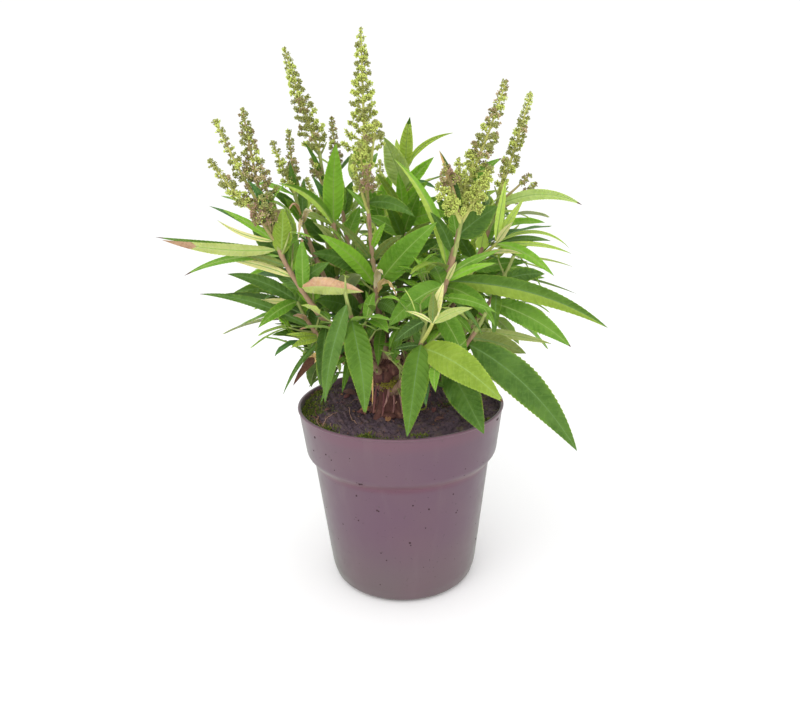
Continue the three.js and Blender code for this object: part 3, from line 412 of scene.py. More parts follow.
def ripples(a, b, seed, waves=9, lowest=0.6, highest=3.0):
    """A smooth bumpy pattern of about -1 to 1 over (a, b): a sum of sine waves, each with its own
    direction, length and phase.  `a` has a period of 2 pi, so the pattern closes round a limb."""
    draw = np.random.default_rng(seed)
    total = np.zeros(np.broadcast(a, b).shape)
    for _ in range(waves):
        size = draw.uniform(lowest, highest)
        around = round(draw.uniform(-2.5, 2.5) * size)
        total = total + np.sin(around * a + draw.uniform(0.5, 1.0) * size * b * 6.3
                               + draw.uniform(0, 6.3)) / size
    return total / 2.2


# ------------------------------------------------------------------ making meshes

def grid_quads(rows, columns, closed=False):
    """The quads of a grid of rows x columns points; `closed` joins the last column to the first."""
    index = np.arange(rows * columns).reshape(rows, columns)
    if closed:
        index = np.concatenate([index, index[:, :1]], axis=1)
    return np.stack([index[:-1, :-1], index[:-1, 1:], index[1:, 1:], index[1:, :-1]],
                    axis=-1).reshape(-1, 4)


class Heap:
    """Points and faces of many small shapes that are joined into one piece."""

    def __init__(self):
        self.points, self.maps, self.corners, self.sizes, self.tags = [], [], [], [], []
        self.count = 0

    def add(self, points, faces, tag=0, pattern=None):
        """`faces` is one array of quads or triangles, or several; `tag` is a material number,
        or an array with one for each face."""
        points = np.asarray(points, float).reshape(-1, 3)
        if pattern is None:
            pattern = np.zeros((len(points), 2))
        for block in faces if isinstance(faces, (list, tuple)) else [faces]:
            block = np.asarray(block)
            if not len(block):
                continue
            self.corners.append((block + self.count).ravel())
            self.sizes.append(np.full(len(block), block.shape[1]))
            each = np.ndim(tag) and len(tag) == len(block)
            self.tags.append(np.asarray(tag) if each else np.full(len(block), np.max(tag)))
        self.points.append(points)
        self.maps.append(np.asarray(pattern, float).reshape(-1, 2))
        self.count += len(points)

    def limb(self, path, radii, side, sides, tag):
        """Adds a tube of one finish."""
        points, faces, pattern = tube(path, radii, side, sides)
        self.add(points, faces, tag, pattern)

    def piece(self, name, materials, slot, replaces=(), crease=50.0):
        points = np.concatenate(self.points) * MM
        corners = np.concatenate(self.corners)
        sizes = np.concatenate(self.sizes)
        mesh = bpy.data.meshes.new(name)
        mesh.vertices.add(len(points))
        mesh.vertices.foreach_set("co", points.astype(np.float32).ravel())
        mesh.loops.add(len(corners))
        mesh.loops.foreach_set("vertex_index", corners.astype(np.int32))
        mesh.polygons.add(len(sizes))
        mesh.polygons.foreach_set("loop_start", (np.cumsum(sizes) - sizes).astype(np.int32))
        for material in materials:
            mesh.materials.append(material)
        mesh.polygons.foreach_set("material_index", np.concatenate(self.tags).astype(np.int32))
        layer = mesh.uv_layers.new(name="along")
        layer.data.foreach_set("uv", np.concatenate(self.maps)[corners].astype(np.float32).ravel())
        mesh.update(calc_edges=True)
        mesh.validate()
        mesh.polygons.foreach_set("use_smooth", np.ones(len(mesh.polygons), bool))
        mesh.set_sharp_from_angle(angle=math.radians(crease))
        thing = bpy.data.objects.new(name, mesh)
        bpy.context.scene.collection.objects.link(thing)
        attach(thing, "root")
        if replaces:
            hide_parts(*replaces)
        return thing


def fans(rings, sides):
    """The triangles that close the first and the last of a grid's rings: the points in the middle
    of those two rings follow the grid's own."""
    ring = np.arange(sides)
    after = (ring + 1) % sides
    last = (rings - 1) * sides
    foot = np.stack([np.full(sides, rings * sides), after, ring], axis=-1)
    head = np.stack([np.full(sides, rings * sides + 1), last + ring, last + after], axis=-1)
    return foot, head


def tube(path, radii, side, sides):
    """A closed limb: rings of `sides` points carried along `path`, each at radii (one number for
    each ring, or rings x sides), with a point in the middle of each end."""
    path = np.asarray(path, float)
    rows = len(path)
    along = unit(np.gradient(path, axis=0))
    first = unit(side - along * (along @ side)[:, None])
    second = np.cross(along, first)
    angle = turns(sides)
    radii = np.broadcast_to(np.asarray(radii, float).reshape(rows, -1), (rows, sides))
    rings = (path[:, None] + radii[..., None] * (np.cos(angle)[:, None] * first[:, None]
                                                + np.sin(angle)[:, None] * second[:, None]))
    points = np.concatenate([rings.reshape(-1, 3), path[:1], path[-1:]])
    pattern = np.stack([np.tile(angle / (2 * math.pi), rows),
                        np.repeat(np.linspace(0, 1, rows), sides)], axis=-1)
    pattern = np.concatenate([pattern, [[0.5, 0], [0.5, 1]]])
    return points, [grid_quads(rows, sides, closed=True), *fans(rows, sides)], pattern


def scattered(shape, faces, centres, axes, lengths, widths, spins):
    """Copies of one small shape that stands on +Z: each is stretched to its length and width,
    turned so that +Z lies along its axis, spun about it and moved to its centre."""
    axes = unit(axes)
    helper = np.where(np.abs(axes[:, 2:3]) < 0.9, UP, np.array([1.0, 0, 0]))
    first = unit(np.cross(helper, axes))
    second = np.cross(axes, first)
    cos, sin = np.cos(spins)[:, None], np.sin(spins)[:, None]
    across, beside = first * cos + second * sin, second * cos - first * sin
    points = (centres[:, None]
              + shape[None, :, 0:1] * (widths[:, None] * across)[:, None]
              + shape[None, :, 1:2] * (widths[:, None] * beside)[:, None]
              + shape[None, :, 2:3] * (lengths[:, None] * axes)[:, None])
    copies = (faces[None] + (np.arange(len(centres)) * len(shape))[:, None, None])
    return points.reshape(-1, 3), copies.reshape(-1, faces.shape[1])


def bead(sides, rings, fullness=1.0):
    """A closed bead of height 1 and width 1 on +Z: rings of radius sin(pi t)^fullness / 2."""
    t = np.linspace(0, 1, rings + 2)[1:-1]
    angle = turns(sides)
    radius = 0.5 * np.sin(math.pi * t) ** fullness
    ring = np.stack([radius[:, None] * np.cos(angle), radius[:, None] * np.sin(angle),
                     np.broadcast_to(t[:, None], (rings, sides))], axis=-1).reshape(-1, 3)
    quads = grid_quads(rings, sides, closed=True)
    return (np.concatenate([ring, [[0, 0, 0], [0, 0, 1.0]]]),
            np.concatenate([quads[:, [0, 1, 2]], quads[:, [0, 2, 3]], *fans(rings, sides)]))


# ------------------------------------------------------------------ finishes

def paint(red, green, blue):
    """A colour given in the usual 0 to 255 steps, as the linear numbers that shaders take."""
    steps = np.array([red, green, blue]) / 255.0
    linear = np.where(steps <= 0.04045, steps / 12.92, ((steps + 0.055) / 1.055) ** 2.4)
    return (*[float(value) for value in linear], 1.0)


class Finish:
    """A material: a Principled shader whose colour, roughness and bump come from patterns."""

    def __init__(self, name, colour, roughness=0.6, specular=0.5):
        self.material = bpy.data.materials.new(name)
        self.material.use_nodes = True
        self.nodes = self.material.node_tree.nodes
        self.links = self.material.node_tree.links
        self.shader = self.nodes["Principled BSDF"]
        self.set(Base_Color=colour, Roughness=roughness, Specular_IOR_Level=specular)
        self.colour = colour
        self.normal = None

    def set(self, **values):
        """Sets sockets of the shader by their names; a pattern is linked."""
        for key, value in values.items():
            self.join(value, self.shader.inputs[key.replace("_", " ")])

    def join(self, value, socket):
        if isinstance(value, bpy.types.NodeSocket):
            self.links.new(value, socket)
        else:
            socket.default_value = value

    def glow(self, weight, radius, reach):
        """Lets light through a thin body, over `reach` millimetres times `radius`."""
        self.set(Subsurface_Weight=weight, Subsurface_Radius=radius, Subsurface_Scale=reach * MM)

    def node(self, kind, *inputs, **values):
        """A node: a value goes to the setting or socket of its name, and `inputs` to the first
        sockets in turn."""
        node = self.nodes.new(kind)
        for key, value in values.items():
            if hasattr(node, key):
                setattr(node, key, value)
            else:
                self.join(value, node.inputs[key.replace("_", " ")])
        for value, socket in zip(inputs, node.inputs):
            self.join(value, socket)
        return node

    def math(self, operation, *inputs):
        return self.node("ShaderNodeMath", *inputs, operation=operation).outputs[0]

    def where(self, scale=(1, 1, 1), pattern="Object"):
        """Object coordinates, or the piece's own UV map, stretched by `scale`."""
        coordinates = self.node("ShaderNodeTexCoord").outputs[pattern]
        return self.node("ShaderNodeMapping", Vector=coordinates, Scale=scale).outputs["Vector"]

    def axis(self, name, pattern="Object"):
        parts = self.node("ShaderNodeSeparateXYZ", Vector=self.where(pattern=pattern))
        return parts.outputs[name]

    def noise(self, scale, detail, stretch=(1, 1, 1)):
        return self.node("ShaderNodeTexNoise", Scale=scale, Detail=detail, Roughness=0.55,
                         Vector=self.where(stretch)).outputs["Fac"]

    def height(self, low, high):
        """0 at `low` millimetres above the pot's foot and 1 at `high`."""
        return self.between(self.axis("Z"), low * MM, high * MM)

    def band(self, middle, half):
        """1 at the height `middle` and 0 from `half` millimetres above or below it."""
        off = self.math("ABSOLUTE", self.math("MULTIPLY_ADD", self.axis("Z"), 1.0, -middle * MM))
        return self.between(off, half * MM, 0.0)

    def between(self, value, low, high):
        """`value` spread so that `low` becomes 0 and `high` becomes 1."""
        return self.node("ShaderNodeMapRange", interpolation_type="SMOOTHSTEP", Value=value,
                         From_Min=low, From_Max=high).outputs["Result"]

    def stain(self, value, colour, strength=1.0):
        """Lays `colour` over the colour so far where `value` is high."""
        blend = self.node("ShaderNodeMix", data_type="RGBA", A=self.colour, B=colour,
                          Factor=self.math("MULTIPLY", value, strength))
        self.colour = blend.outputs["Result"]
        self.set(Base_Color=self.colour)

    def blotch(self, scale, detail, low, high, colour, strength=1.0, stretch=(1, 1, 1)):
        """Lays `colour` where a noise goes from `low` to `high`."""
        self.stain(self.between(self.noise(scale, detail, stretch), low, high), colour, strength)

    def gloss(self, value, low, high):
        """Roughness from `low` to `high` as `value` goes from 0 to 1."""
        self.set(Roughness=self.node("ShaderNodeMapRange", Value=value, To_Min=low,
                                     To_Max=high).outputs["Result"])

    def relief(self, value, strength, depth):
        """A bump of `depth` millimetres, on the bumps so far."""
        bump = self.node("ShaderNodeBump", Strength=strength, Distance=depth * MM, Height=value)
        if self.normal is not None:
            self.join(self.normal, bump.inputs["Normal"])
        self.normal = bump.outputs["Normal"]
        self.set(Normal=self.normal)


def pot_finish():
    """Mauve plastic, redder under the lip and greyer low down, with a darker, redder band of
    painted shade at the collar's foot, and with dust, marks and dried dirt."""
    finish = Finish("mauve satin plastic", paint(93, 66, 83), roughness=0.36)
    finish.set(Sheen_Weight=0.14, Sheen_Tint=(0.62, 1.0, 0.7, 1.0), Sheen_Roughness=0.4)
    finish.stain(finish.height(70, 10), paint(96, 84, 84), 0.75)
    finish.blotch(14, 2, 0.35, 0.7, paint(99, 74, 84), 0.6)
    finish.stain(finish.height(139, 147), paint(110, 68, 84), 0.35)
    # Painted shade: a darker, redder band round the shoulder under the collar, which also damps the
    # sheen's bright line there.
    finish.stain(finish.band(109, 7), paint(96, 42, 66), 0.75)
    finish.blotch(60, 4, 0.55, 0.8, paint(109, 90, 96), 0.3, (1, 1, 0.25))
    finish.blotch(520, 2, 0.7, 0.75, paint(58, 40, 48), 0.8)
    finish.blotch(190, 2, 0.7, 0.77, paint(80, 60, 68), 0.7)
    finish.gloss(finish.noise(90, 3), 0.3, 0.5)
    finish.relief(finish.noise(1400, 2), 0.12, 0.05)
    return finish.material


def soil_finish():
    finish = Finish("damp dark compost", paint(98, 82, 92), roughness=0.95, specular=0.2)
    finish.blotch(160, 5, 0.46, 0.74, paint(122, 100, 96))
    finish.blotch(420, 4, 0.46, 0.68, paint(58, 48, 58), 0.8)
    finish.blotch(90, 3, 0.58, 0.72, paint(112, 108, 64), 0.6)
    finish.relief(finish.noise(700, 5), 0.8, 0.8)
    return finish.material


def bark_finish(name, colour, light, dark, roughness=0.85):
    """Bark that is streaked along the limb, with paler flakes and dark cracks."""
    finish = Finish(name, paint(*colour), roughness=roughness, specular=0.25)
    streaks = finish.noise(260, 5, (1, 1, 0.22))
    finish.stain(finish.between(streaks, 0.5, 0.68), paint(*light), 0.8)
    finish.blotch(420, 4, 0.52, 0.68, paint(*dark), 0.85, (1, 1, 0.18))
    finish.relief(streaks, 0.7, 0.5)
    return finish.material


def plain_finish(name, colour, dark, roughness, scale=600):
    """One colour with darker grains."""
    finish = Finish(name, paint(*colour), roughness=roughness, specular=0.3)
    grain = finish.noise(scale, 4)
    finish.stain(finish.between(grain, 0.45, 0.7), paint(*dark), 0.7)
    finish.relief(grain, 0.5, 0.2)
    return finish.material


# the blade's colour, its lighter blotches, its veins, and its underside
BLADES = {
    "shade": ((56, 84, 28), (74, 102, 42), (88, 118, 54), (106, 126, 66)),
    "deep": ((70, 104, 36), (92, 126, 50), (106, 140, 64), (114, 136, 72)),
    "blue": ((66, 106, 52), (86, 126, 66), (104, 142, 84), (112, 136, 82)),
    "leaf": ((76, 110, 30), (94, 130, 44), (110, 146, 60), (120, 142, 70)),
    "green": ((94, 138, 40), (118, 160, 58), (132, 170, 76), (132, 154, 78)),
    "bright": ((114, 162, 44), (136, 182, 60), (152, 192, 84), (148, 170, 82)),
    "fresh": ((122, 148, 48), (142, 166, 64), (152, 174, 86), (148, 162, 86)),
    "lime": ((158, 184, 72), (176, 198, 90), (188, 206, 112), (170, 186, 98)),
    "vivid": ((182, 212, 92), (196, 222, 108), (204, 222, 124), (184, 204, 104)),
    "soft": ((160, 182, 98), (176, 196, 118), (188, 206, 136), (168, 186, 112)),
    "olive": ((104, 118, 54), (122, 136, 70), (138, 152, 90), (134, 146, 86)),
    "pale": ((160, 172, 96), (176, 186, 116), (188, 196, 134), (170, 180, 112)),
    "cream": ((200, 198, 128), (212, 210, 150), (216, 212, 164), (196, 194, 134)),
    "dry": ((200, 158, 126), (216, 186, 152), (160, 118, 92), (190, 150, 120)),
    "husk": ((206, 170, 110), (222, 196, 144), (160, 118, 74), (190, 154, 100)),
    "tallow": ((222, 204, 160), (234, 220, 184), (190, 164, 118), (210, 190, 148)),
}
# GREENS run from dark to bright; blade_colour picks them in part as painted shade and light.
GREENS = ("shade", "deep", "leaf", "green", "bright", "fresh", "lime")
GREEN_STEPS = (-0.1, 0.12, 0.34, 0.6, 0.86, 1.02)
DRIED = ("dry", "husk", "tallow")
DARK_BLADES = ("shade", "deep", "blue", "leaf", "olive")
BLADE_NAMES = list(BLADES)
KINDS = len(BLADES)
FELT, RIB, PALE_RIB, RIB_UNDER, TAN, BROWN = range(2 * KINDS, 2 * KINDS + 6)


def blade_finish(name, colours, roughness, depth):
    """A leaf blade, blotched between two greens.  Its UV map counts side veins: y goes up by one
    from vein to vein and x is the distance from the midrib in the same measure, so the veins are
    where y - 0.6 |x| - 0.2 x^2, drawn about a little by a noise, is a whole number."""
    base, light, vein = (paint(*colour) for colour in colours)
    finish = Finish(name, base, roughness=roughness, specular=0.14)
    finish.glow(0.6, (0.9, 1.0, 0.3), 0.45)
    finish.blotch(60, 3, 0.38, 0.66, light, 0.7)
    finish.blotch(420, 4, 0.46, 0.66, light, 0.5)
    side = finish.math("ABSOLUTE", finish.axis("X", "UV"))
    slope = finish.math("MULTIPLY_ADD", side, -0.2, -0.6)
    phase = finish.math("MULTIPLY_ADD", side, slope, finish.axis("Y", "UV"))
    stray = finish.math("MULTIPLY_ADD", finish.noise(90, 1), 0.9, 0.0)
    saw = finish.math("PINGPONG", finish.math("ADD", phase, stray), 0.5)
    finish.stain(finish.between(side, 0.5, 0.0), vein, 0.25)
    finish.stain(finish.between(saw, 0.1, 0.0), vein, 0.22)
    finish.relief(finish.between(saw, 0.0, 0.4), 0.4, depth)
    finish.relief(finish.noise(700, 4), 0.45, 0.25)
    return finish.material


def leaf_finishes():
    """In the order of their material numbers: blades, undersides, then FELT to BROWN."""
    made = [blade_finish(f"{name} leaf", colours[:3], 0.5, 0.5)
            for name, colours in BLADES.items()]
    made += [blade_finish(f"{name} leaf underside", (under, light, light), 0.75, -0.4)
             for name, (_, _, light, under) in BLADES.items()]
    made.append(blade_finish("felted underside", ((146, 158, 106), (160, 170, 122),
                                                  (172, 180, 136)), 0.9, -0.4))
    return made + [plain_finish(*row) for row in (
        ("midrib", (94, 128, 62), (78, 110, 50), 0.5),
        ("pale midrib", (140, 168, 82), (120, 150, 66), 0.5),
        ("felted midrib", (150, 162, 106), (132, 146, 90), 0.8),
        ("dried tan leaf end", (170, 138, 108), (132, 94, 74), 0.8),
        ("dried brown leaf end", (98, 64, 46), (62, 42, 36), 0.8))]


# ------------------------------------------------------------------ leaves

def midline(leaf, v):
    """The middle of a leaf at v (0 root, 1 tip), with its across and top directions there: an
    arc that starts along `start` and bends down by `droop`, rolled about itself and twisted."""
    bend = math.radians(leaf["droop"])
    radius = leaf["length"] / bend
    top = upright_of(leaf["start"])
    side = np.cross(top, leaf["start"])
    angle = (bend * v)[..., None]
    points = leaf["root"] + radius * (leaf["start"] * np.sin(angle) + top * (np.cos(angle) - 1))
    turned = top * np.cos(angle) + leaf["start"] * np.sin(angle)
    lean = np.radians(leaf["roll"] + leaf["twist"] * v)[..., None]
    across = side * np.cos(lean) + turned * np.sin(lean)
    points = points + across * (leaf["sway"] * leaf["length"] * np.sin(math.pi * v) * v)[..., None]
    return points, across, turned * np.cos(lean) - side * np.sin(lean)


def outline(v):
    """Half-width of a lance-shaped leaf, as a share of its greatest half-width."""
    body = np.sin(math.pi * np.clip(v, 0.0, 1.0) ** 0.75) ** 0.9
    return np.maximum(body * mix(0.35, 1.0, ease(v / SHEET["root_end"])), 0.05 * (1 - v))


class LeafPattern:
    """The faces of a leaf: an upper and a lower sheet, rows x columns, that share their rim."""

    def __init__(self, spreads, rows):
        ahead = np.array(spreads)
        self.columns = np.concatenate([-ahead[::-1], [0, 0], ahead])
        self.signs = np.concatenate([-np.ones(len(ahead) + 1), np.ones(len(ahead) + 1)])
        self.rows = rows
        width = len(self.columns)
        upper = np.arange((rows + 1) * width).reshape(rows + 1, width)
        rim = np.zeros(upper.shape, bool)
        rim[[0, -1]] = True
        rim[:, [0, -1]] = True
        self.inner = ~rim
        lower = upper.copy()
        lower[self.inner] = upper.size + np.arange(self.inner.sum())
        cells = np.stack([upper[:-1, :-1], upper[:-1, 1:], upper[1:, 1:], upper[1:, :-1]], axis=-1)
        below = np.stack([lower[:-1, :-1], lower[1:, :-1], lower[1:, 1:], lower[:-1, 1:]], axis=-1)
        self.faces = np.concatenate([cells.reshape(-1, 4), below.reshape(-1, 4)])
        middle = np.zeros((rows, width - 1), bool)
        middle[:, len(ahead)] = True
        self.rib = middle.ravel()
        side = np.broadcast_to(np.arange(width - 1) < len(ahead), (rows, width - 1))
        self.first_side = side.ravel()
        self.row = np.repeat(np.arange(rows), width - 1) / rows


PATTERNS = {"front": LeafPattern([0.34, 0.67, 1.0], 60), "large": LeafPattern([0.5, 1.0], 32),
            "middle": LeafPattern([0.5, 1.0], 12), "young": LeafPattern([1.0], 7)}
SKETCH = LeafPattern([1.0], 7)


def leaf_points(leaf, pattern, thickness):
    """The sheet of a leaf.  Across, a point lies at sign x (rib + share x (half-width - rib)).
    The rim of every other row is drawn in, as teeth; the blade lifts with its fold, swells
    between side veins, waves towards the rim and bends down at the rim."""
    share = np.abs(pattern.columns)[None]
    sign = pattern.signs[None]
    v = np.linspace(0, 1, pattern.rows + 1)[:, None]
    even = (np.arange(pattern.rows + 1) % 2 == 0)[:, None]
    rimmed = share > 0.99
    lean = np.where(rimmed & even, SHEET["tooth_lean"], 0.0)
    slant = SHEET["slant"] * share + lean / pattern.rows
    along = np.minimum(1.0, v + slant * np.sin(math.pi * v) ** 0.5)
    half = leaf["width"] / 2 * outline(along)
    half = half * np.where(rimmed & ~even, 1 - LEAF["teeth"], 1.0)
    rib = mix(SHEET["rib_root"], SHEET["rib_tip"], v) * (0.7 + leaf["length"] / 200)
    rib = np.minimum(rib, SHEET["rib_share"] * half + 0.05)
    lateral = sign * (rib + share * (half - rib))
    veins = SHEET["fewest_veins"] + leaf["length"] / SHEET["vein_gap"]
    phase = along * veins - SHEET["vein_lean"] * np.abs(lateral) * veins / leaf["length"]
    lift = leaf["fold"] * np.abs(lateral) * (1 - leaf["arch"] * share)
    lift = lift - SHEET["swell"] * half * np.cos(2 * math.pi * phase) * share * (1.3 - share)
    lift = lift + leaf["wave"] * half * share ** 2 * np.sin(
        2 * math.pi * (leaf["waves"] * along + 0.25 * sign + leaf["phase"]))
    lift = lift - np.where(share == 0, SHEET["groove"], 0.0)
    centre, across, top = midline(leaf, along)
    flat = math.cos(leaf["fold"])
    upper = centre + across * (lateral * flat)[..., None] + top * lift[..., None]
    body = thickness * (1 + SHEET["rib_depth"] * (share == 0)) \
        * mix(SHEET["root_depth"], 1.0, ease(v / SHEET["root_end"]))
    lower = upper - top * body[..., None]
    points = np.concatenate([upper.reshape(-1, 3), lower[pattern.inner]])
    chart = np.stack([lateral * veins / leaf["length"], along * veins], axis=-1)
    return points, np.concatenate([chart.reshape(-1, 2), chart[pattern.inner]])


class Foliage:
    """All leaves of the plant: keeps each one clear of the others and of the limbs."""

    def __init__(self, twigs):
        self.twigs = twigs
        self.trees, self.lows, self.highs, self.owners = [], [], [], []
        self.heaps = {grade: Heap() for grade in PATTERNS}
        self.draw = np.random.default_rng(SEEDS["leaves"])

    def take(self, points, faces, owner):
        self.trees.append(BVHTree.FromPolygons(points.tolist(), faces.tolist()))
        self.lows.append(points.min(0))
        self.highs.append(points.max(0))
        self.owners.append(owner)

    def take_limb(self, name, path, radii, side, sides):
        points, faces, _ = tube(path, radii, side, sides)
        self.take(points, faces[0], "stem " + name)

    def takes(self, points, faces, name, owner):
        """True, and the surface is taken, where it crosses nothing but its shoot's own limbs."""
        tree = BVHTree.FromPolygons(points.tolist(), faces.tolist())
        meets = np.all((np.array(self.lows) <= points.max(0))
                       & (np.array(self.highs) >= points.min(0)), axis=1)
        if any(tree.overlap(self.trees[i]) for i in np.flatnonzero(meets)
               if self.owners[i] != "stem " + name):
            return False
        self.take(points, faces, owner)
        return True

    def keep_in_view(self, points):
        """Keeps later leaves off the lines from these points towards the camera: from VIEW's
        near to its far distance, as slivers of its width."""
        towards = unit(CAMERA["place"] - points)
        near, far = points + towards * VIEW["near"], points + towards * VIEW["far"]
        index = np.arange(len(points))
        faces = np.stack([index, index + len(points), index + 2 * len(points)], axis=-1)
        self.take(np.concatenate([near, far, far + [VIEW["width"], 0, 0]]), faces, "view")

    def character(self, leaf):
        """Gives a leaf its own fold, arch, waves, twist and sway."""
        fold, wave, waves, phase, twist, sway, arch = self.draw.uniform(size=7)
        own = PLACED_RANGE if leaf["placed"] else RULE_RANGE
        leaf["fold"] = mix(*own["fold"], fold)
        leaf["arch"] = mix(0.3, 1.0, arch)
        leaf["wave"] = mix(0.03, 0.12, wave)
        leaf["waves"] = mix(1.6, 4.2, waves)
        leaf["phase"] = phase
        leaf["twist"] = own["twist"] * (twist - 0.5)
        leaf["roll"] -= leaf["twist"] / 2 if leaf["placed"] else 0.0
        leaf["sway"] = own["sway"] * (sway - 0.5)

    def try_leaf(self, leaf, name):
        """True, and the leaf is taken, where its blade has room."""
        tip = midline(leaf, np.array(1.0))[0]
        if tip[2] < leaf["lowest"]:
            return False
        if not leaf["placed"] and np.hypot(tip[0], tip[1]) > np.interp(tip[2], *CROWN):
            return False
        points, _ = leaf_points(leaf, SKETCH, LEAF["sketch_thickness"])
        rows = SKETCH.rows
        blade = points[:(rows + 1) * 4].reshape(rows + 1, 4, 3)[1:].reshape(-1, 3)
        if not leaf["placed"] and in_open_space(blade):
            return False
        return self.takes(blade, grid_quads(rows, 4), name, name)

    def draw_leaf(self, leaf, colour, second=None, under=None):
        """Adds the leaf's mesh; `second` is another finish and the place where it begins, or the
        side that has it."""
        long = leaf["length"]
        grade = "large" if long > LEAF["large"] else "middle" if long > LEAF["middle"] else "young"
        if leaf["placed"] and long > LEAF["fine"]:
            grade = "front"
        pattern = PATTERNS[grade]
        thickness = LEAF["thickness"] if long > LEAF["thick_from"] else LEAF["thin"]
        points, chart = leaf_points(leaf, pattern, thickness)
        blade = BLADE_NAMES.index(colour)
        if under is None:
            under = KINDS + blade
        upper = np.full(len(pattern.rib), blade)
        lower = np.full(len(pattern.rib), under)
        if colour not in DRIED:
            upper[pattern.rib] = RIB if colour in DARK_BLADES else PALE_RIB
            lower[pattern.rib] = RIB_UNDER
        if second:
            finish, part = second
            # A second colour on one side is in part painted light and shade on that half of the
            # leaf.
            if isinstance(part, str):
                low_first = leaf["start"][0] > 0
                chosen = (pattern.first_side == (low_first == (part == "lower"))) & ~pattern.rib
            else:
                chosen = pattern.row > part
            upper[chosen] = lower[chosen] = finish
        self.heaps[grade].add(points, pattern.faces, np.concatenate([upper, lower]), chart)


def in_open_space(points):
    low, high = OPEN_SPACE[:, None, 0], OPEN_SPACE[:, None, 1]
    return bool(np.any(np.all((points > low) & (points < high), axis=-1)))


# ------------------------------------------------------------------ stems

base_curve = np.array([[*BASE["foot"], SOIL_TOP],
                       [*BASE["foot"], SOIL_TOP + BASE["height"] / 2],
                       [*BASE["head"], SOIL_TOP + BASE["height"]]])


def stem_radius(s):
    return mix(STEM["foot_radius"], STEM["tip_radius"], s ** STEM["taper"])


def stem_curves():
    curves = {}
    for name, shoot in sorted(SHOOTS.items(), key=lambda row: isinstance(row[1].foot[0], str)):
        foot, height = shoot.foot
        if isinstance(foot, str):
            start = at(curves[foot], height * STEM["bough_share"])
        else:
            start = at(base_curve, (height - SOIL_TOP - GAP) / BASE["height"])
            start = start + place(foot, STEM["foot_ring"], 0)
        curves[name] = bowed(start, place(*shoot.tip), STEM["knee"])
    for name, (parent, s, *tip) in SPRIGS.items():
        curves[name] = bowed(at(curves[parent], s), place(*tip), SPIKE["knee"])
    return curves


stems = stem_curves()


def pair_places(pairs):
    climb = np.arange(pairs) / (pairs - 1)
    return mix(HABIT["first_pair"], HABIT["last_pair"], climb)


def grow_stem(heap, foliage, name, seed):
    """A stem from its foot to its tip: its radius tapers, swells at each pair of leaves and has
    shallow ridges along it.  It is bark low down and green towards its tip."""
    curve, side, sides = stems[name], sideways(stems[name]), 12
    s = np.linspace(0, 1, 90)
    nodes = pair_places(SHOOTS[name].pairs)
    swell = 1 + 0.32 * np.exp(-((s[:, None] - nodes) / 0.008) ** 2).sum(1)
    ridges = 1 + 0.07 * ripples(turns(sides)[None], s[:, None] * 4, SEEDS["stems"] + seed)
    radii = (stem_radius(s) * swell)[:, None] * ridges
    points, faces, pattern = tube(at(curve, s), radii, side, sides)
    heap.add(points, faces[0], np.repeat(np.digitize(s[:-1], [0.4, 0.82]), sides), pattern)
    heap.add(points, faces[1:], 2)
    foliage.take_limb(name, at(curve, s[::9]), stem_radius(s[::9]), side, 4)


def spike_curve(name, spike):
    tip = place(spike.bearing, spike.reach, spike.height)
    return bowed(at(stems[name], spike.seat), tip, SPIKE["knee"])


# ------------------------------------------------------------------ leaves by rule

def rule_leaf(curve, longest, seed, turn, s, climb, around, small=1.0):
    """One leaf of a pair: it stands out from its stem by the spread for its height, and is
    shorter towards the tip of the shoot and where it points into the crown."""
    along = heading(curve, s)
    outward = spun(sideways(curve), along, around)
    spread = math.radians(mix(HABIT["low_spread"], HABIT["top_spread"], climb)
                          + HABIT["spread_range"] * (chance(seed, turn) - 0.5))
    start = along * math.cos(spread) + outward * math.sin(spread)
    point = at(curve, s)
    away = unit(np.array([point[0], point[1], 0.0]))
    inner = mix(HABIT["inner_length"], 1, (1 + away @ outward) / 2)
    grown = mix(1, HABIT["top_length"], climb)
    grown = grown * mix(*HABIT["length_range"], chance(seed, turn + 1))
    droop = mix(HABIT["low_droop"], HABIT["top_droop"], climb)
    length = longest * inner * grown * small
    return dict(root=point - start * LEAF["root_sunk"], start=start, length=length,
                droop=droop * mix(*HABIT["droop_range"], chance(seed, turn + 2)),
                width=(length * LEAF["width_share"]
                       * mix(*HABIT["width_range"], chance(seed, turn + 3))),
                roll=HABIT["roll_range"] * (chance(seed, turn + 4) - 0.5),
                lowest=HABIT["lowest_tip"], placed=False)


def placed_leaf(row, attempt):
    """A leaf that springs above the straight line to its tip, bends down to it and turns its
    face to the camera.  Later attempts spring further out and are shorter."""
    curve = stems[row.shoot]
    root = at(curve, min(1, seat(curve, row.root) + LEAF["next_seat"] * attempt))
    chord = sight(row.tip, row.depth) - root
    half_bend = math.radians(row.droop / 2)
    aim = unit(chord)
    start = aim * math.cos(half_bend) + upright_of(aim) * math.sin(half_bend)
    length = np.linalg.norm(chord) * half_bend / math.sin(half_bend)
    length = length * (1 - TRY_SHORTER["placed"] * attempt)
    leaf = dict(root=root, start=start, droop=row.droop, length=length, width=row.width, roll=0.0,
                twist=0.0, sway=0.0, lowest=POT["height"] - POT["collar_height"], placed=True)
    middle, across, top = midline(leaf, np.array(0.5))
    view = unit(CAMERA["place"] - middle)
    leaf["roll"] = math.degrees(math.atan2(-view @ across, view @ top))
    return leaf


def blade_colour(leaf, seed, turn, youth=0.0):
    """Low and inner leaves are dark, as painted shade, and high ones bright, as painted light;
    young ones are paler of their own and right-hand ones bright; chance does the rest."""
    if chance(seed, turn + 33) < HABIT["blue_share"]:
        return "blue"
    x, y, z = midline(leaf, np.array(0.7))[0]
    scale = ((z - 180) / 150 + 0.0012 * x + 0.0025 * (math.hypot(x, y) - 80)
             + youth + 0.75 * (chance(seed, turn + 31) - 0.5))
    return GREENS[int(np.digitize(scale, GREEN_STEPS))]


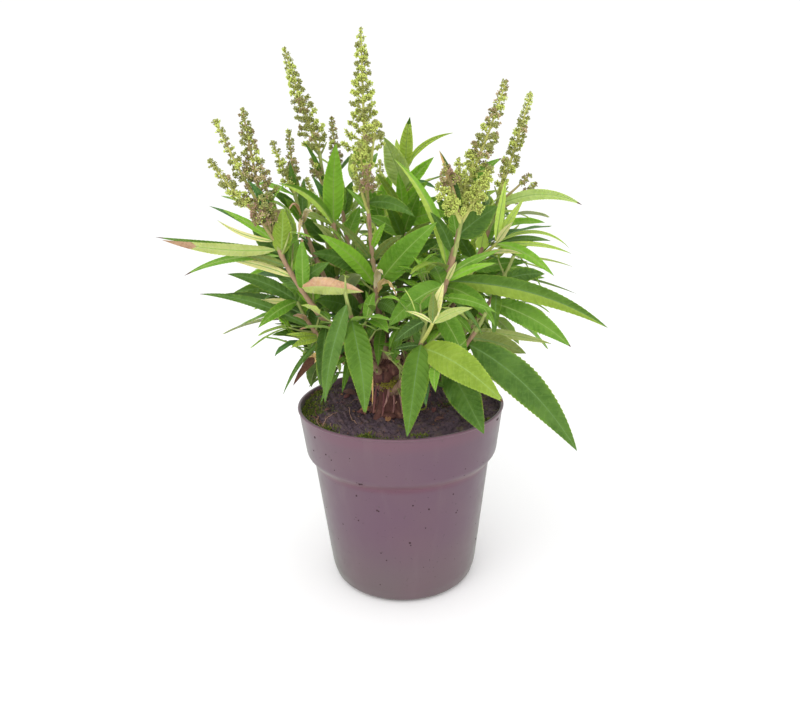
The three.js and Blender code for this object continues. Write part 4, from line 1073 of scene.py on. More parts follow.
def grow_twig(foliage, name, seed, turn, s, around, rise, length, size, youth):
    """A twig that springs from a stem at s, bends up as it grows, and has pairs of leaves square
    to each other."""
    stem, sides, rings = stems[name], 6, 6
    along = heading(stem, s)
    start, way = at(stem, s), unit(along * rise + spun(sideways(stem), along, around))
    line = np.array([start, start + way * length * TWIG["knee"],
                     start + way * length + UP * length * TWIG["bend"]])
    points, faces, pattern = tube(at(line, np.linspace(0, 1, rings)),
                                  np.linspace(TWIG["foot_radius"], TWIG["tip_radius"], rings),
                                  sideways(line), sides)
    if not foliage.takes(points[sides:], faces[0][sides:] - sides, name, "stem " + name):
        return
    foliage.twigs.add(points, faces, 2, pattern)
    pairs = 3 if length > TWIG["third_pair"] else 2
    for i, s in enumerate(np.linspace(0.4, 1, pairs)):
        for side in (0, 180):
            first = turn + 60 + 20 * i + (10 if side else 0)
            for attempt in range(TRIES["twig"]):
                leaf = rule_leaf(line, size, seed, first + attempt, s, 0.75 * s,
                                 side + 90 * i + TRY_TURN["twig"] * attempt,
                                 1 - TRY_SHORTER["twig"] * attempt)
                leaf["lowest"] = SOIL_TOP + TWIG["leaf_over_soil"]
                foliage.character(leaf)
                if foliage.try_leaf(leaf, name):
                    foliage.draw_leaf(leaf, blade_colour(leaf, seed, first, youth + 0.15 * s))
                    break


def pair_turns(seed, pair, swing, shift):
    """For both leaves of a pair: its turn of chance and its angle round the stem, which is square
    to the pair below and strays by up to half of `swing`."""
    for half in (0, 1):
        turn = 1000 * pair + 100 * half
        yield turn, (90 * pair + 180 * half + 360 * chance(seed, 7)
                     + swing * (chance(seed, turn + shift) - 0.5))


def grow_pair(foliage, name, seed, pair):
    _, pairs, longest, _, _ = SHOOTS[name]
    climb, s = pair / (pairs - 1), pair_places(pairs)[pair]
    for turn, around in pair_turns(seed, pair, 26, 9):
        for attempt in range(TRIES["pair"]):
            leaf = rule_leaf(stems[name], longest, seed, turn + 5 * attempt, s, climb,
                             around + TRY_TURN["pair"] * attempt,
                             1 - TRY_SHORTER["pair"] * attempt)
            foliage.character(leaf)
            if foliage.try_leaf(leaf, name):
                ends = None
                if chance(seed, turn + 37) < HABIT["dried_share"]:
                    ends = TAN if chance(seed, turn + 38) < 0.5 else BROWN, HABIT["dried_from"]
                under = FELT if chance(seed, turn + 39) < HABIT["felted_share"] else None
                foliage.draw_leaf(leaf, blade_colour(leaf, seed, turn), ends, under)
                break


def grow_axils(foliage, name, seed, pair):
    """Twigs in the axils of a pair of leaves."""
    _, pairs, longest, _, _ = SHOOTS[name]
    climb, s = pair / (pairs - 1), pair_places(pairs)[pair]
    for turn, around in pair_turns(seed, pair, 30, 52):
        length = (mix(TWIG["longest"], TWIG["shortest"], climb)
                  * mix(0.6, 1.1, chance(seed, turn + 51)))
        grow_twig(foliage, name, seed, turn, s, around, TWIG["rise"], length,
                  longest * mix(0.72, 0.46, climb), 0.1 + 0.1 * climb)


def grow_inner(foliage, name, seed):
    """Short twigs on the bare bough; their leaves, dark as painted shade, close the crown inside.
    """
    for k, s in enumerate(INNER_TWIGS):
        grow_twig(foliage, name, seed, 9000 + 300 * k, s, 360 * chance(seed, 70 + k),
                  TWIG["inner_rise"], mix(16, 30, chance(seed, 80 + k)), TWIG["inner_leaf"], 0.15)


def ribbon(line, beside):
    """Five lines of points: the line itself and two to each side of it, out to `beside`."""
    return np.concatenate([line + beside * share for share in (-1, -0.5, 0, 0.5, 1)])


def grow_placed(foliage):
    """The leaves that have a place; later leaves keep them, and the spikes, in view."""
    views, finish_of = [], {name: i for i, name in enumerate(BLADE_NAMES)}
    finish_of.update(tan=TAN, brown=BROWN)
    v = np.linspace(0.06, 0.96, 14)
    for row in PLACED_LEAVES:
        for attempt in range(TRIES["placed"]):
            leaf = placed_leaf(row, attempt)
            foliage.character(leaf)
            if row.colour in DRIED:
                leaf.update(fold=0.6, wave=0.45, waves=3.1)
            if foliage.try_leaf(leaf, row.shoot):
                second = (finish_of[row.end[0]], row.end[1]) if row.end else None
                foliage.draw_leaf(leaf, row.colour, second, finish_of[row.colour])
                middle, across, _ = midline(leaf, v)
                half = (leaf["width"] * 0.42 * outline(v))[:, None]
                views.append(ribbon(middle, across * half))
                break
    for name, (low, high) in OPEN_STEMS.items():
        views.append(at(stems[name], np.linspace(low, high, 10)))
    for name, shoot in SHOOTS.items():
        for spike in shoot.spikes:
            line = at(spike_curve(name, spike), np.linspace(0.2, 1, 20))
            views.append(ribbon(line, RIGHT * spike.width
                                * np.linspace(0.36, 0.05, 20)[:, None]))
    for points in views:
        foliage.keep_in_view(points)


def grow_foliage(foliage):
    grow_placed(foliage)
    for step in (grow_pair, grow_axils):
        for pair in range(max(shoot.pairs for shoot in SHOOTS.values())):
            for seed, (name, shoot) in enumerate(SHOOTS.items()):
                if pair < shoot.pairs:
                    step(foliage, name, seed, pair)
    for seed, name in enumerate(SHOOTS):
        grow_inner(foliage, name, seed)


# ------------------------------------------------------------------ flower spikes

BUD, BUD_FACES = bead(4, 1, 0.8)
CORE, CORE_FACES = bead(6, 2, 0.55)
TONES = {  # lime, olive, brown, tan and rust shares of the clusters, at a spike's foot and tip
    "lime": ((0.95, 0.05, 0, 0, 0), (0.75, 0.25, 0, 0, 0)),
    "olive": ((0.4, 0.45, 0.1, 0.05, 0), (0.45, 0.55, 0, 0, 0)),
    "brown": ((0, 0.15, 0.7, 0.15, 0), (0.25, 0.55, 0.2, 0, 0)),
    "tan": ((0.3, 0.3, 0.15, 0.25, 0), (0.1, 0.4, 0.2, 0.3, 0)),
    "rust": ((0, 0, 0.2, 0.2, 0.6), (0, 0, 0.1, 0.4, 0.5)),
}
OLIVE, RUST, PAINTED_SHADE = 1, 4, 5
PALE_AXIS = ("lime", "olive", "tan")


class Panicle:
    """The buds of one spike, gathered in lists and added as whole arrays."""

    def __init__(self, seed):
        self.draw = np.random.default_rng(SEEDS["spikes"] + seed)
        self.buds, self.cores = [], []

    def cluster(self, centre, direction, radius, kind):
        """A tight fist of small pointed buds round a core; those next to the stalk are paler and
        greener, unless the fist is rust.  The core is darker: painted shade between the buds."""
        draw, count = self.draw, int(5 + 5 * radius)
        ball = unit(draw.normal(size=(count, 3)) + 0.6 * direction)
        reach = ball * radius * draw.uniform(0.6, 1.0, (count, 1))
        inner = ball @ direction < draw.uniform(-0.4, 0.5, count)
        greener = np.minimum(kind, draw.integers(0, 2, count))
        kinds = np.where(inner & (kind < RUST), greener, kind)
        self.buds.append(np.column_stack([centre + reach * 0.7, ball + 0.4 * direction,
                                          draw.uniform(*SPIKE["bud"], count), kinds]))
        # The core's finish is painted shade, a darker lump that shows between the buds.
        self.cores.append(np.concatenate([centre - direction * radius * 0.8, direction,
                                          [radius * 1.5, PAINTED_SHADE]]))

    def add_to(self, heap):
        for rows, shape, faces, slim in ((np.concatenate(self.buds), BUD, BUD_FACES, 0.7),
                                         (np.array(self.cores), CORE, CORE_FACES, 0.8)):
            for kind in range(PAINTED_SHADE + 1):
                chosen = rows[rows[:, 7] == kind]
                if len(chosen):
                    heap.add(*scattered(shape, faces, chosen[:, :3], chosen[:, 3:6],
                                        chosen[:, 6], chosen[:, 6] * slim,
                                        self.draw.uniform(0, 6.3, len(chosen))), tag=kind)


def grow_spike(buds, twigs, name, spike, seed):
    """A panicle: pairs of stalked branches, each pair square to the last, with a fist of buds at
    the end and on side stalks.  The outline narrows from the foot to a slim tip."""
    curve, length = spike_curve(name, spike), spike.length
    side = sideways(curve)
    panicle = Panicle(seed)
    draw = panicle.draw
    s = np.linspace(0, 1, 40)
    stalk_tag = 3 if spike.tone in PALE_AXIS else 4
    twigs.limb(at(curve, s), mix(SPIKE["axis_foot"], SPIKE["axis_tip"], s), side,
               SPIKE["axis_sides"], stalk_tag)
    budded = min(1.0, length / np.linalg.norm(curve[2] - curve[0]))
    low, high = np.array(TONES[spike.tone])
    here, k = 0.0, 0
    while here < length - 1.0:
        climb = here / length
        s_here = 1 - budded * (1 - climb)
        along, root = heading(curve, s_here), at(curve, s_here)
        odds = mix(low, high, climb)
        half_width = mix(spike.width / 2, SPIKE["tip_half_width"], climb ** 0.85)
        radius = mix(SPIKE["foot_bunch"], SPIKE["tip_bunch"], climb)
        for half in (0, 1):
            kind = int(draw.choice(5, p=odds / odds.sum()))
            around = 90 * k + 180 * half + 15 + draw.uniform(-18, 18)
            outward = spun(side, along, around)
            beside = np.cross(along, outward)
            direction = unit(outward + along * draw.uniform(0.4, 0.75))
            reach = max(1.2, half_width * draw.uniform(0.95, 1.2) - radius)
            end = root + direction * reach
            branches = [(root, end, direction)]
            for share in (0.35, 0.7) if reach > 7 else (0.5,) if reach > 3 else ():
                for lean in (-1, 1):
                    fork = unit(direction + lean * 0.9 * beside + 0.2 * draw.normal(size=3))
                    split = root + direction * reach * (share + draw.uniform(-0.1, 0.1))
                    tip = split + fork * max(2.2, 0.5 * reach * (1.1 - share))
                    branches.append((split, tip, fork))
            for foot, head, way in branches:
                twigs.limb(np.linspace(foot, head, 3), SPIKE["stalk"], beside, 4, stalk_tag)
                panicle.cluster(head, way, radius * draw.uniform(0.8, 1.15), kind)
        here += mix(SPIKE["foot_step"], SPIKE["tip_step"], climb)
        k += 1
    panicle.cluster(at(curve, 1.0) - heading(curve, 1.0) * 1.2, heading(curve, 1.0), 1.3, OLIVE)
    panicle.add_to(buds)


# ------------------------------------------------------------------ woody base

KNUCKLES = [  # swellings on the stool: place, radius, squash in height
    ((-13.0, -23.0, 183.5), 9.0, 0.85), ((-6.0, -23.0, 187.5), 7.0, 0.85),
    ((-19.5, -20.0, 179.0), 6.5, 0.9), ((-3.0, -12.0, 189.0), 7.5, 0.9),
    ((-6.0, -4.0, 183.0), 8.5, 1.0), ((-19.0, -18.0, 152.0), 6.0, 0.6),
    ((0.0, -17.0, 150.0), 6.0, 0.55), ((-9.0, -28.0, 150.0), 5.5, 0.5),
]
CUTS = [  # cut stubs: foot, head, radius
    ((-9.0, -20.0, 188.0), (-7.4, -24.0, 197.0), 1.9),
    ((-2.0, -18.0, 188.0), (-1.0, -23.0, 196.5), 1.8),
    ((-17.0, -24.0, 186.0), (-17.6, -31.0, 190.5), 1.5),
    ((-4.0, -4.0, 176.0), (12.0, 6.0, 192.0), 3.2),
    ((-8.0, -4.0, 172.0), (-20.0, 10.0, 188.0), 3.0),
]
STRIPS = [  # peeling strips of bark: three places along each, half its width
    ((-10.0, -24.5, 178.0), (-7.0, -27.0, 170.0), (-13.5, -27.5, 157.0), 0.9),
    ((-14.0, -25.0, 170.0), (-12.0, -25.5, 162.0), (-15.0, -29.0, 149.0), 0.7),
    ((-6.0, -24.0, 168.0), (-4.0, -26.5, 160.0), (-7.0, -29.0, 149.0), 0.6),
    ((-19.0, -20.0, 172.0), (-20.5, -22.0, 163.0), (-22.0, -25.0, 151.0), 0.8),
    ((-2.0, -20.0, 174.0), (0.5, -22.5, 163.0), (1.0, -25.0, 150.0), 0.6),
    ((-17.0, -22.0, 183.0), (-18.5, -24.5, 178.0), (-17.0, -25.0, 170.0), 0.7),
]


def stringy(angle, s, seed):
    """The relief of stringy bark: wandering ridges along a limb, and finer ones on them."""
    strings = (np.sin(17 * angle + 5 * np.sin(3.1 * s + 2 * angle))
               + 0.6 * np.sin(31 * angle - 4 * s))
    return 0.32 * strings + 0.3 * ripples(angle, s * 5, seed, 14, 2, 6)


def trunk(heap):
    """A trunk that is widest at its four roots, slim at its neck and rounded at its head."""
    s = np.linspace(0, 1, 110)[:, None]
    sides = 96
    angle = turns(sides)[None]
    flare = (1 - s) ** 4
    radius = 6.6 + 8.0 * flare + 2.6 * np.exp(-((s - 0.8) / 0.14) ** 2)
    radius = radius * (1 + 0.25 * flare * np.cos(4 * angle) + 0.08 * np.sin(5 * angle + 9 * s))
    radius = radius + 0.9 * ripples(angle, s * 1.2, SEEDS["trunk"], 10, 0.8, 2.4)
    radius = radius + stringy(angle, s, SEEDS["trunk_strings"])
    head = np.sqrt(np.maximum(0.05, 1 - ((s - 0.9) / 0.105) ** 2))
    heap.limb(at(base_curve, s[:, 0]), radius * np.where(s > 0.9, head, 1.0),
              sideways(base_curve), sides, 0)


def knuckle(heap, i, centre, swell, squash):
    """A lumpy ball of stringy bark, squashed in height."""
    t = np.linspace(0.02, 0.98, 34)[:, None]
    sides = 48
    angle = turns(sides)[None]
    lumps = 1 + 0.1 * ripples(angle, t * 1.5, SEEDS["knuckles"] + i, 9, 0.8, 2.6)
    strings = stringy(angle, t, SEEDS["knuckle_strings"] + i)
    radii = swell * np.sin(math.pi * t) * lumps + 0.5 * strings
    line = np.array(centre) + UP * (swell * squash * -np.cos(math.pi * t))
    heap.limb(line, np.maximum(radii, 0.2), RIGHTWARD, sides, 0)


def cut_stub(heap, i, foot, head, thick):
    """A stub of bark that ends in a face of bare wood."""
    u = np.linspace(0, 1, 22)[:, None]
    sides = 24
    lumps = 1 + 0.1 * ripples(turns(sides)[None], u * 3, SEEDS["cuts"] + i, 9, 1, 4)
    radii = thick * (1.15 - 0.15 * u) * lumps
    line = mix(np.array(foot), np.array(head), u)
    points, faces, pattern = tube(line, radii, np.array([0.9, 0.4, 0.1]), sides)
    heap.add(points, faces[0], np.repeat((u[:-1, 0] > 0.86).astype(int), sides), pattern)
    for end, tag in ((1, 0), (2, 1)):
        heap.add(points, faces[end], tag, pattern)


def peeling_strip(heap, i, head, knee, foot, half):
    """A strip of bark that waves off the trunk, thin across and narrow at both ends."""
    u = np.linspace(0, 1, 26)[:, None]
    sides = 8
    line = at(np.array([head, knee, foot]), u[:, 0]) + [0, -0.5, 0] * np.sin(u * 9 + i)
    width = half * (0.35 + np.sin(math.pi * np.clip(u, 0.05, 0.95)))
    radii = width * (0.35 + 0.65 * np.abs(np.cos(turns(sides) + 0.6 * np.sin(4 * u))))
    heap.limb(line, radii, RIGHTWARD, sides, 2 if i % 2 else 3)


def woody_base():
    """A gnarled stool: a trunk with swollen knuckles where old stems stood, cut stubs, strips of
    bark that peel off, and a patch of lichen."""
    heap = Heap()
    trunk(heap)
    for shape, rows in ((knuckle, KNUCKLES), (cut_stub, CUTS), (peeling_strip, STRIPS)):
        for i, row in enumerate(rows):
            shape(heap, i, *row)
    draw = np.random.default_rng(SEEDS["lichen"])
    count = 240
    spots = np.array([-9.0, -26.5, 176.0]) + draw.normal(size=(count, 3)) * [3.4, 1.2, 2.4]
    axes = draw.normal(size=(count, 3)) * 0.5 + [0, -1.0, 0.3]
    heap.add(*scattered(*bead(5, 2, 0.6), spots, axes, draw.uniform(0.8, 2.2, count),
                        draw.uniform(0.5, 1.3, count), draw.uniform(0, 6, count)), tag=4)
    return heap


# ------------------------------------------------------------------ pot and soil

def pot_profile(inset):
    lift = POT["floor"] if inset else 0.0
    collar_foot = POT["height"] - POT["collar_height"]
    return np.array([
        [POT["foot"] - inset, lift],
        [POT["foot"] + 4.6 - inset, 2.6 + lift * 0.6],
        [POT["body_foot"] - inset, POT["foot_curve"] + lift * 0.2],
        [POT["body_top"] - inset, collar_foot - POT["shoulder"]],
        [POT["collar_foot"] - inset, collar_foot + (POT["wall"] * 0.6 if inset else 0)],
        [POT["rim"] - 0.9 - inset, POT["height"] - 2.0]])


POT_CORNER = 2.4


def rounded(points, amount, steps=7):
    """Each inner corner of a profile becomes a quadratic arc that starts and ends `amount` from
    the corner, or half way along a shorter side."""
    out = [points[:1]]
    for before, corner, after in zip(points[:-2], points[1:-1], points[2:]):
        back, on = before - corner, after - corner
        cut = min(amount, 0.45 * np.linalg.norm(back), 0.45 * np.linalg.norm(on))
        t = np.linspace(0, 1, steps)[:, None]
        one, two = corner + unit(back) * cut, corner + unit(on) * cut
        out.append((1 - t) ** 2 * one + 2 * t * (1 - t) * corner + t ** 2 * two)
    out.append(points[-1:])
    return np.concatenate(out)


def polar(radius, angle, height):
    """Points at a distance, an angle and a height on the pot's axis, as arrays that broadcast."""
    return np.stack(np.broadcast_arrays(radius * np.cos(angle), radius * np.sin(angle), height),
                    axis=-1)


def pot_wall(heap, sides=192):
    """A profile carried round the axis: up the outside, over a rounded lip, down the inside."""
    outside = rounded(pot_profile(0.0), POT_CORNER)
    inside = rounded(pot_profile(POT["wall"]), POT_CORNER)[::-1]
    rim, top = POT["rim"], POT["height"]
    lip = rounded(np.array([outside[-1], [rim, top - 1.3], [rim - 0.3, top],
                            [rim - POT["wall"] - 0.5, top], inside[0]]), 0.7, 6)
    profile = np.concatenate([outside[:-1], lip, inside[1:]])
    angle = turns(sides)
    length = np.concatenate([[0], np.cumsum(np.linalg.norm(np.diff(profile, axis=0), axis=1))])
    pattern = np.stack(np.broadcast_arrays(angle / 6.2832, (length / length[-1])[:, None]),
                       axis=-1)
    heap.add(polar(profile[:, :1], angle, profile[:, 1:]),
             grid_quads(len(profile), sides, closed=True), 0, pattern)


def pot_floor(heap, steps=64):
    """A disc in the middle and a ring with holes round it: in each eighth, rows run from the edge
    of the eighth to a hole, up through it, and out again above."""
    quarter = steps // 4
    inner, outer = POT["drain_ring"] - 14, POT["foot"]
    half = math.pi / POT["drain_holes"]
    arc = np.linspace(-half, half, quarter, endpoint=False)
    side = np.linspace(0, 1, quarter, endpoint=False)
    edge = np.concatenate([
        np.stack([np.full_like(arc, outer), arc], axis=-1),
        np.stack([mix(outer, inner, side), np.full_like(side, half)], axis=-1),
        np.stack([np.full_like(arc, inner), -arc], axis=-1),
        np.stack([mix(inner, outer, side), np.full_like(side, -half)], axis=-1)])
    under, over = np.zeros((steps, 1)), np.full((steps, 1), POT["floor"])
    for hole in range(POT["drain_holes"]):
        middle = 2 * half * (hole + 0.5)
        rim = polar(edge[:, 0], edge[:, 1] + middle, 0.0)[:, :2]
        centre = POT["drain_ring"] * np.array([math.cos(middle), math.sin(middle)])
        turn = math.atan2(*(rim[0] - centre)[::-1]) + turns(steps)
        ring = centre + polar(POT["drain_radius"], turn, 0.0)[:, :2]
        narrow = rim.copy()
        narrow[np.isclose(edge[:, 0], outer)] *= (outer - POT["wall"]) / outer
        rows = np.stack([np.hstack([rim, under]), np.hstack([ring, under]),
                         np.hstack([ring, over]), np.hstack([narrow, over])])
        heap.add(rows, grid_quads(4, steps, closed=True))
    count = POT["drain_holes"] * quarter
    index = np.arange(count)
    fan = np.stack([index, (index + 1) % count, np.full(count, count)], axis=-1)
    for height, order in ((0.0, -1), (POT["floor"], 1)):
        disc = polar(inner, turns(count), height)
        heap.add(np.concatenate([disc, [[0, 0, height]]]), fan[:, ::order])


def pot_piece():
    heap = Heap()
    pot_wall(heap)
    pot_floor(heap)
    return heap


def soil_height(x, y):
    """The soil is a low dome with lumps and small crumbs, and lies level with the woody foot."""
    dome = mix(SOIL_TOP, SOIL_EDGE, ease((np.hypot(x, y) - 20) / 60))
    for height, size, *waves in ((1.5, 14, 71, 12, 0.7, 2.6), (0.8, 3.1, 72, 16, 0.8, 2.6),
                                 (0.35, 1.1, 73, 16, 0.8, 2.2)):
        dome = dome + height * ripples(x / size, y / size / 6.3, *waves)
    return dome - 1.0


def soil_piece(sides=260):
    """The surface is a polar grid lifted to soil_height; a plain wall and floor close it."""
    heap, angle = Heap(), turns(sides)
    lower = pot_profile(POT["wall"] + GAP)
    rim = float(np.interp(SOIL_EDGE, *lower.T[::-1]))
    radii = np.linspace(0.5, rim, 130)
    surface = polar(radii[:, None], angle, 0.0)
    surface[..., 2] = soil_height(surface[..., 0], surface[..., 1])
    surface[-1, :, 2] = SOIL_EDGE
    floor = lower[0, 1] = POT["floor"] + GAP
    wall = lower[:-1][::-1]
    grid = np.concatenate([surface, polar(wall[:, :1], angle, wall[:, 1:])])[::-1]
    rows = len(grid)
    middles = [[0, 0, floor], [0, 0, float(surface[0, :, 2].mean())]]
    heap.add(np.concatenate([grid.reshape(-1, 3), middles]),
             [grid_quads(rows, sides, closed=True), *fans(rows, sides)])
    return heap


MOSS = [  # tufts of moss: bearing, reach, spread, blades
    (172, 78, 14, 420), (189, 78, 12, 360), (182, 72, 16, 220), (205, 78, 8, 120),
    (218, 78, 7, 200), (224, 76, 6, 260), (229, 78, 6, 160), (248, 74, 9, 520), (254, 77, 7, 260),
    (262, 76, 8, 160), (157, 80, 9, 240), (148, 80, 10, 120), (281, 70, 8, 90), (330, 78, 6, 60),
    (10, 40, 6, 60), (60, 70, 10, 160), (100, 74, 12, 200),
]
FIBRES = [  # dry fibres on the soil: ends (x, y), how high the first one stands, radius
    ((-3.0, -22.0), (-10.5, -25.0), 13.0, 0.45),
    ((-71.0, -1.0), (-58.0, -42.0), 1.0, 0.32), ((-60.0, -29.0), (-50.0, -12.0), 0.5, 0.22),
    ((-74.0, -19.0), (-58.0, -50.0), 1.0, 0.34), ((-66.0, -22.0), (-60.0, -49.0), 1.5, 0.3),
    ((-78.0, 44.0), (-77.0, 10.0), 2.0, 0.3), ((-42.0, -10.0), (-35.0, -35.0), 0.5, 0.26),
    ((33.0, 20.0), (40.0, -4.0), 1.0, 0.3), ((-60.0, -30.0), (-63.0, -48.0), 1.0, 0.3),
]
HUSKS = [  # scraps of old leaf and bark on the soil: x, y, bearing, length, finish
    (-10.0, -33.0, 80, 10, 2), (-29.0, -4.0, 20, 13, 2), (-45.0, 34.0, 150, 14, 1),
    (-33.0, -9.0, 160, 9, 4), (-22.0, -7.0, 40, 9, 2), (-47.0, 27.0, 60, 8, 4),
    (-24.0, 18.0, 100, 10, 2), (27.0, -14.0, 80, 8, 4), (24.0, 24.0, 100, 9, 4),
    (30.0, -34.0, 20, 8, 1), (52.0, -30.0, 120, 7, 4), (-60.0, -12.0, 40, 6, 1),
]


def strew_crumbs(heap, draw, count=1100):
    crumb = bead(6, 3, 0.7)
    reach, bearing = 80 * np.sqrt(draw.uniform(0.02, 1, count)), draw.uniform(0, 6.3, count)
    x, y = reach * np.cos(bearing), reach * np.sin(bearing)
    centres = np.stack([x, y, soil_height(x, y) - 0.5], axis=-1)
    sizes = draw.uniform(0.8, 3.4, count) * draw.uniform(0.5, 1, count)
    axes = unit(draw.normal(size=(count, 3)) * [1, 1, 0.4])
    tags = draw.choice(3, count, p=[0.55, 0.35, 0.1])
    for tag in range(3):
        pick = tags == tag
        size, axis = sizes[pick], axes[pick]
        heap.add(*scattered(*crumb, centres[pick] - axis * size[:, None] / 2, axis, size,
                            size * 0.75, draw.uniform(0, 6, pick.sum())), tag=tag)


def strew_fibres(heap, draw, count=26):
    """FIBRES and `count` more: each is bent a little, follows the soil and rises at its start."""
    fibres = [(*row, 3 + i % 2) for i, row in enumerate(FIBRES)]
    for _ in range(count):
        bearing, reach = draw.uniform(0, 360), draw.uniform(12, 74)
        start = place(bearing, reach, 0)[:2]
        run = unit(draw.normal(size=2)) * draw.uniform(6, 20)
        fibres.append((start, start + run, 0.0, draw.uniform(0.1, 0.2), int(draw.choice([3, 4]))))
    u = np.linspace(0, 1, 16)
    for start, end, rise, thick, tag in fibres:
        start, end = np.array(start, float), np.array(end, float)
        bend = np.array([start[1] - end[1], end[0] - start[0]]) * draw.uniform(-0.12, 0.12)
        flat = mix(start, end, u[:, None]) + bend * (4 * u * (1 - u))[:, None]
        flat *= np.minimum(1, 80 / np.maximum(np.linalg.norm(flat, axis=1), 1))[:, None]
        ground = soil_height(flat[:, 0], flat[:, 1]) + 0.4
        lift = rise * (1 - u) + draw.uniform(0, 1.5) * np.sin(math.pi * u) ** 2
        heap.limb(np.column_stack([flat, ground + lift]), np.full(len(u), thick), UP, 5, tag)


def lay_husks(heap, sides=10):
    """Scraps that arch off the soil, thin across and pointed at both ends."""
    u = np.linspace(0, 1, 12)
    for x, y, bearing, size, tag in HUSKS:
        middle = np.array([x, y, soil_height(np.array(x), np.array(y)) + 0.6])
        line = middle + place(bearing, size, 0) * (u[:, None] - 0.5)
        line[:, 2] += 0.12 * size * np.sin(math.pi * u) + 0.8 * u
        radii = (0.26 * size * np.sin(math.pi * np.clip(u, 0.04, 0.96)) ** 0.8)[:, None] \
            * (0.3 + 0.7 * np.abs(np.sin(turns(sides))))
        heap.limb(line, radii, UP, sides, tag)


def curled_sprout(heap):
    turn = np.linspace(-0.4, 4.3, 22)
    ring = np.array([17.0, -6.0, 150.0]) + 4.2 * np.column_stack([
        np.sin(turn), 0.5 * np.cos(turn), 0.75 * np.cos(turn)])
    heap.limb(ring, np.linspace(0.5, 0.9, len(turn)), UP, 6, 6)


def grow_moss(heap, draw):
    blade = bead(3, 1, 0.6)
    for bearing, reach, spread, many in MOSS:
        spot = place(bearing, reach, 0)[:2] + draw.normal(size=(many, 2)) * spread / 2
        spot *= np.minimum(1, 80.5 / np.hypot(spot[:, 0], spot[:, 1]))[:, None]
        centres = np.column_stack([spot, soil_height(spot[:, 0], spot[:, 1]) - 0.3])
        axes = unit(draw.normal(size=(many, 3)) * [0.6, 0.6, 0.3] + UP)
        light = draw.uniform(size=many) < 0.35
        for tag, pick in ((5, ~light), (6, light)):
            count = pick.sum()
            heap.add(*scattered(*blade, centres[pick], axes[pick], draw.uniform(1.2, 3.4, count),
                                draw.uniform(0.5, 1.0, count), draw.uniform(0, 6, count)),
                     tag=tag)


def soil_litter():
    """Crumbs, husks, straw fibres and tufts of moss that lie on the soil, clear of its edge."""
    heap, draw = Heap(), np.random.default_rng(SEEDS["litter"])
    strew_crumbs(heap, draw)
    strew_fibres(heap, draw)
    lay_husks(heap)
    curled_sprout(heap)
    grow_moss(heap, draw)
    return heap


SPECKS = [  # bits of dried dirt on the wall: bearing, height, width
    (217, 142, 2.3), (246, 113, 2.6), (247.4, 113.2, 2.0), (241, 99, 1.8), (254, 89, 1.8),
    (255, 88.4, 1.6), (276, 94, 1.6), (339, 35, 2.2), (334, 148, 2.2), (335.6, 148, 2.2),
    (332.8, 148.3, 1.4), (274, 60, 2.1), (274.6, 57.6, 1.2), (226, 67, 1.3), (286, 89, 1.8),
    (306, 79, 1.4), (229, 128, 1.3), (242, 134, 1.0), (258, 43, 1.3),
]


def pot_specks(count=90):
    """Specks of dried dirt on the outside of the wall: `count` by chance, and SPECKS."""
    heap, draw = Heap(), np.random.default_rng(SEEDS["specks"])
    wall = rounded(pot_profile(0.0), POT_CORNER)
    height, bearing = draw.uniform(14, 146, count), draw.uniform(0, 2 * math.pi, count)
    sizes = draw.uniform(0.5, 1.7, count) * draw.uniform(0.5, 1.0, count)
    placed = np.array(SPECKS).T
    bearing = np.concatenate([bearing, np.radians(placed[0])])
    height, sizes = np.concatenate([height, placed[1]]), np.concatenate([sizes, placed[2]])
    reach = np.interp(height, wall[:, 1], wall[:, 0]) - 0.12
    heap.add(*scattered(*bead(6, 2, 0.8), polar(reach, bearing, height), polar(1.0, bearing, 0.0),
                        np.full(len(sizes), 0.4), sizes, draw.uniform(0, 6, len(sizes))))
    return heap


# ------------------------------------------------------------------ the plant, piece by piece

LITTER = (("dark crumb", (80, 64, 72), (50, 38, 46), 0.95),
          ("brown crumb", (112, 82, 74), (80, 58, 58), 0.9),
          ("tan husk", (154, 112, 78), (108, 74, 56), 0.8),
          ("straw", (186, 146, 124), (150, 110, 92), 0.7),
          ("red fibre", (128, 82, 80), (92, 58, 60), 0.8),
          ("moss", (84, 100, 34), (56, 70, 28), 0.8),
          ("light moss", (126, 132, 52), (92, 100, 40), 0.8))
BUDS = (("lime bud", (204, 216, 112), (176, 192, 88), 0.6),
        ("olive bud", (158, 162, 98), (126, 130, 74), 0.65),
        ("brown bud", (156, 140, 100), (120, 106, 76), 0.7),
        ("tan bud", (190, 172, 132), (158, 138, 106), 0.7),
        ("rust bud", (170, 140, 114), (142, 108, 88), 0.7),
        # the last finish is painted shade, for the cores between the buds
        ("bud core painted shade", (138, 142, 68), (112, 114, 56), 0.8))
BARKS = (("brown young bark", (146, 118, 96), (182, 156, 126), (98, 74, 66)),
         ("plum stem", (158, 130, 102), (182, 166, 120), (122, 90, 82), 0.7),
         ("green stem", (140, 152, 84), (172, 184, 110), (118, 116, 66), 0.6))
STALKS = (("lime flower stalk", (190, 190, 108), (166, 170, 86), 0.6),
          ("brown flower stalk", (160, 148, 96), (124, 108, 74), 0.7))


def plain_finishes(rows):
    return [plain_finish(*row) for row in rows]


def build_pot():
    pot = pot_piece().piece("nursery_pot", [pot_finish()], "pot_plastic", ["pot"], crease=35)
    weld(pot)
    soil_piece().piece("compost", [soil_finish()], "soil", ["soil"], crease=70)
    soil_litter().piece("litter", plain_finishes(LITTER), "soil")


def build_stool():
    woody_base().piece("woody_stool", [
        bark_finish("plum stringy bark", (98, 64, 58), (136, 98, 82), (52, 36, 38)),
        plain_finish("pale cut wood", (206, 180, 140), (170, 138, 104), 0.7),
        bark_finish("maroon strip", (122, 76, 78), (150, 104, 98), (84, 52, 56)),
        bark_finish("pink strip", (156, 114, 108), (182, 142, 128), (110, 74, 74)),
        plain_finish("yellow lichen", (158, 152, 58), (116, 112, 42), 0.85, 900)],
        "bark", ["woody_base"], crease=60)


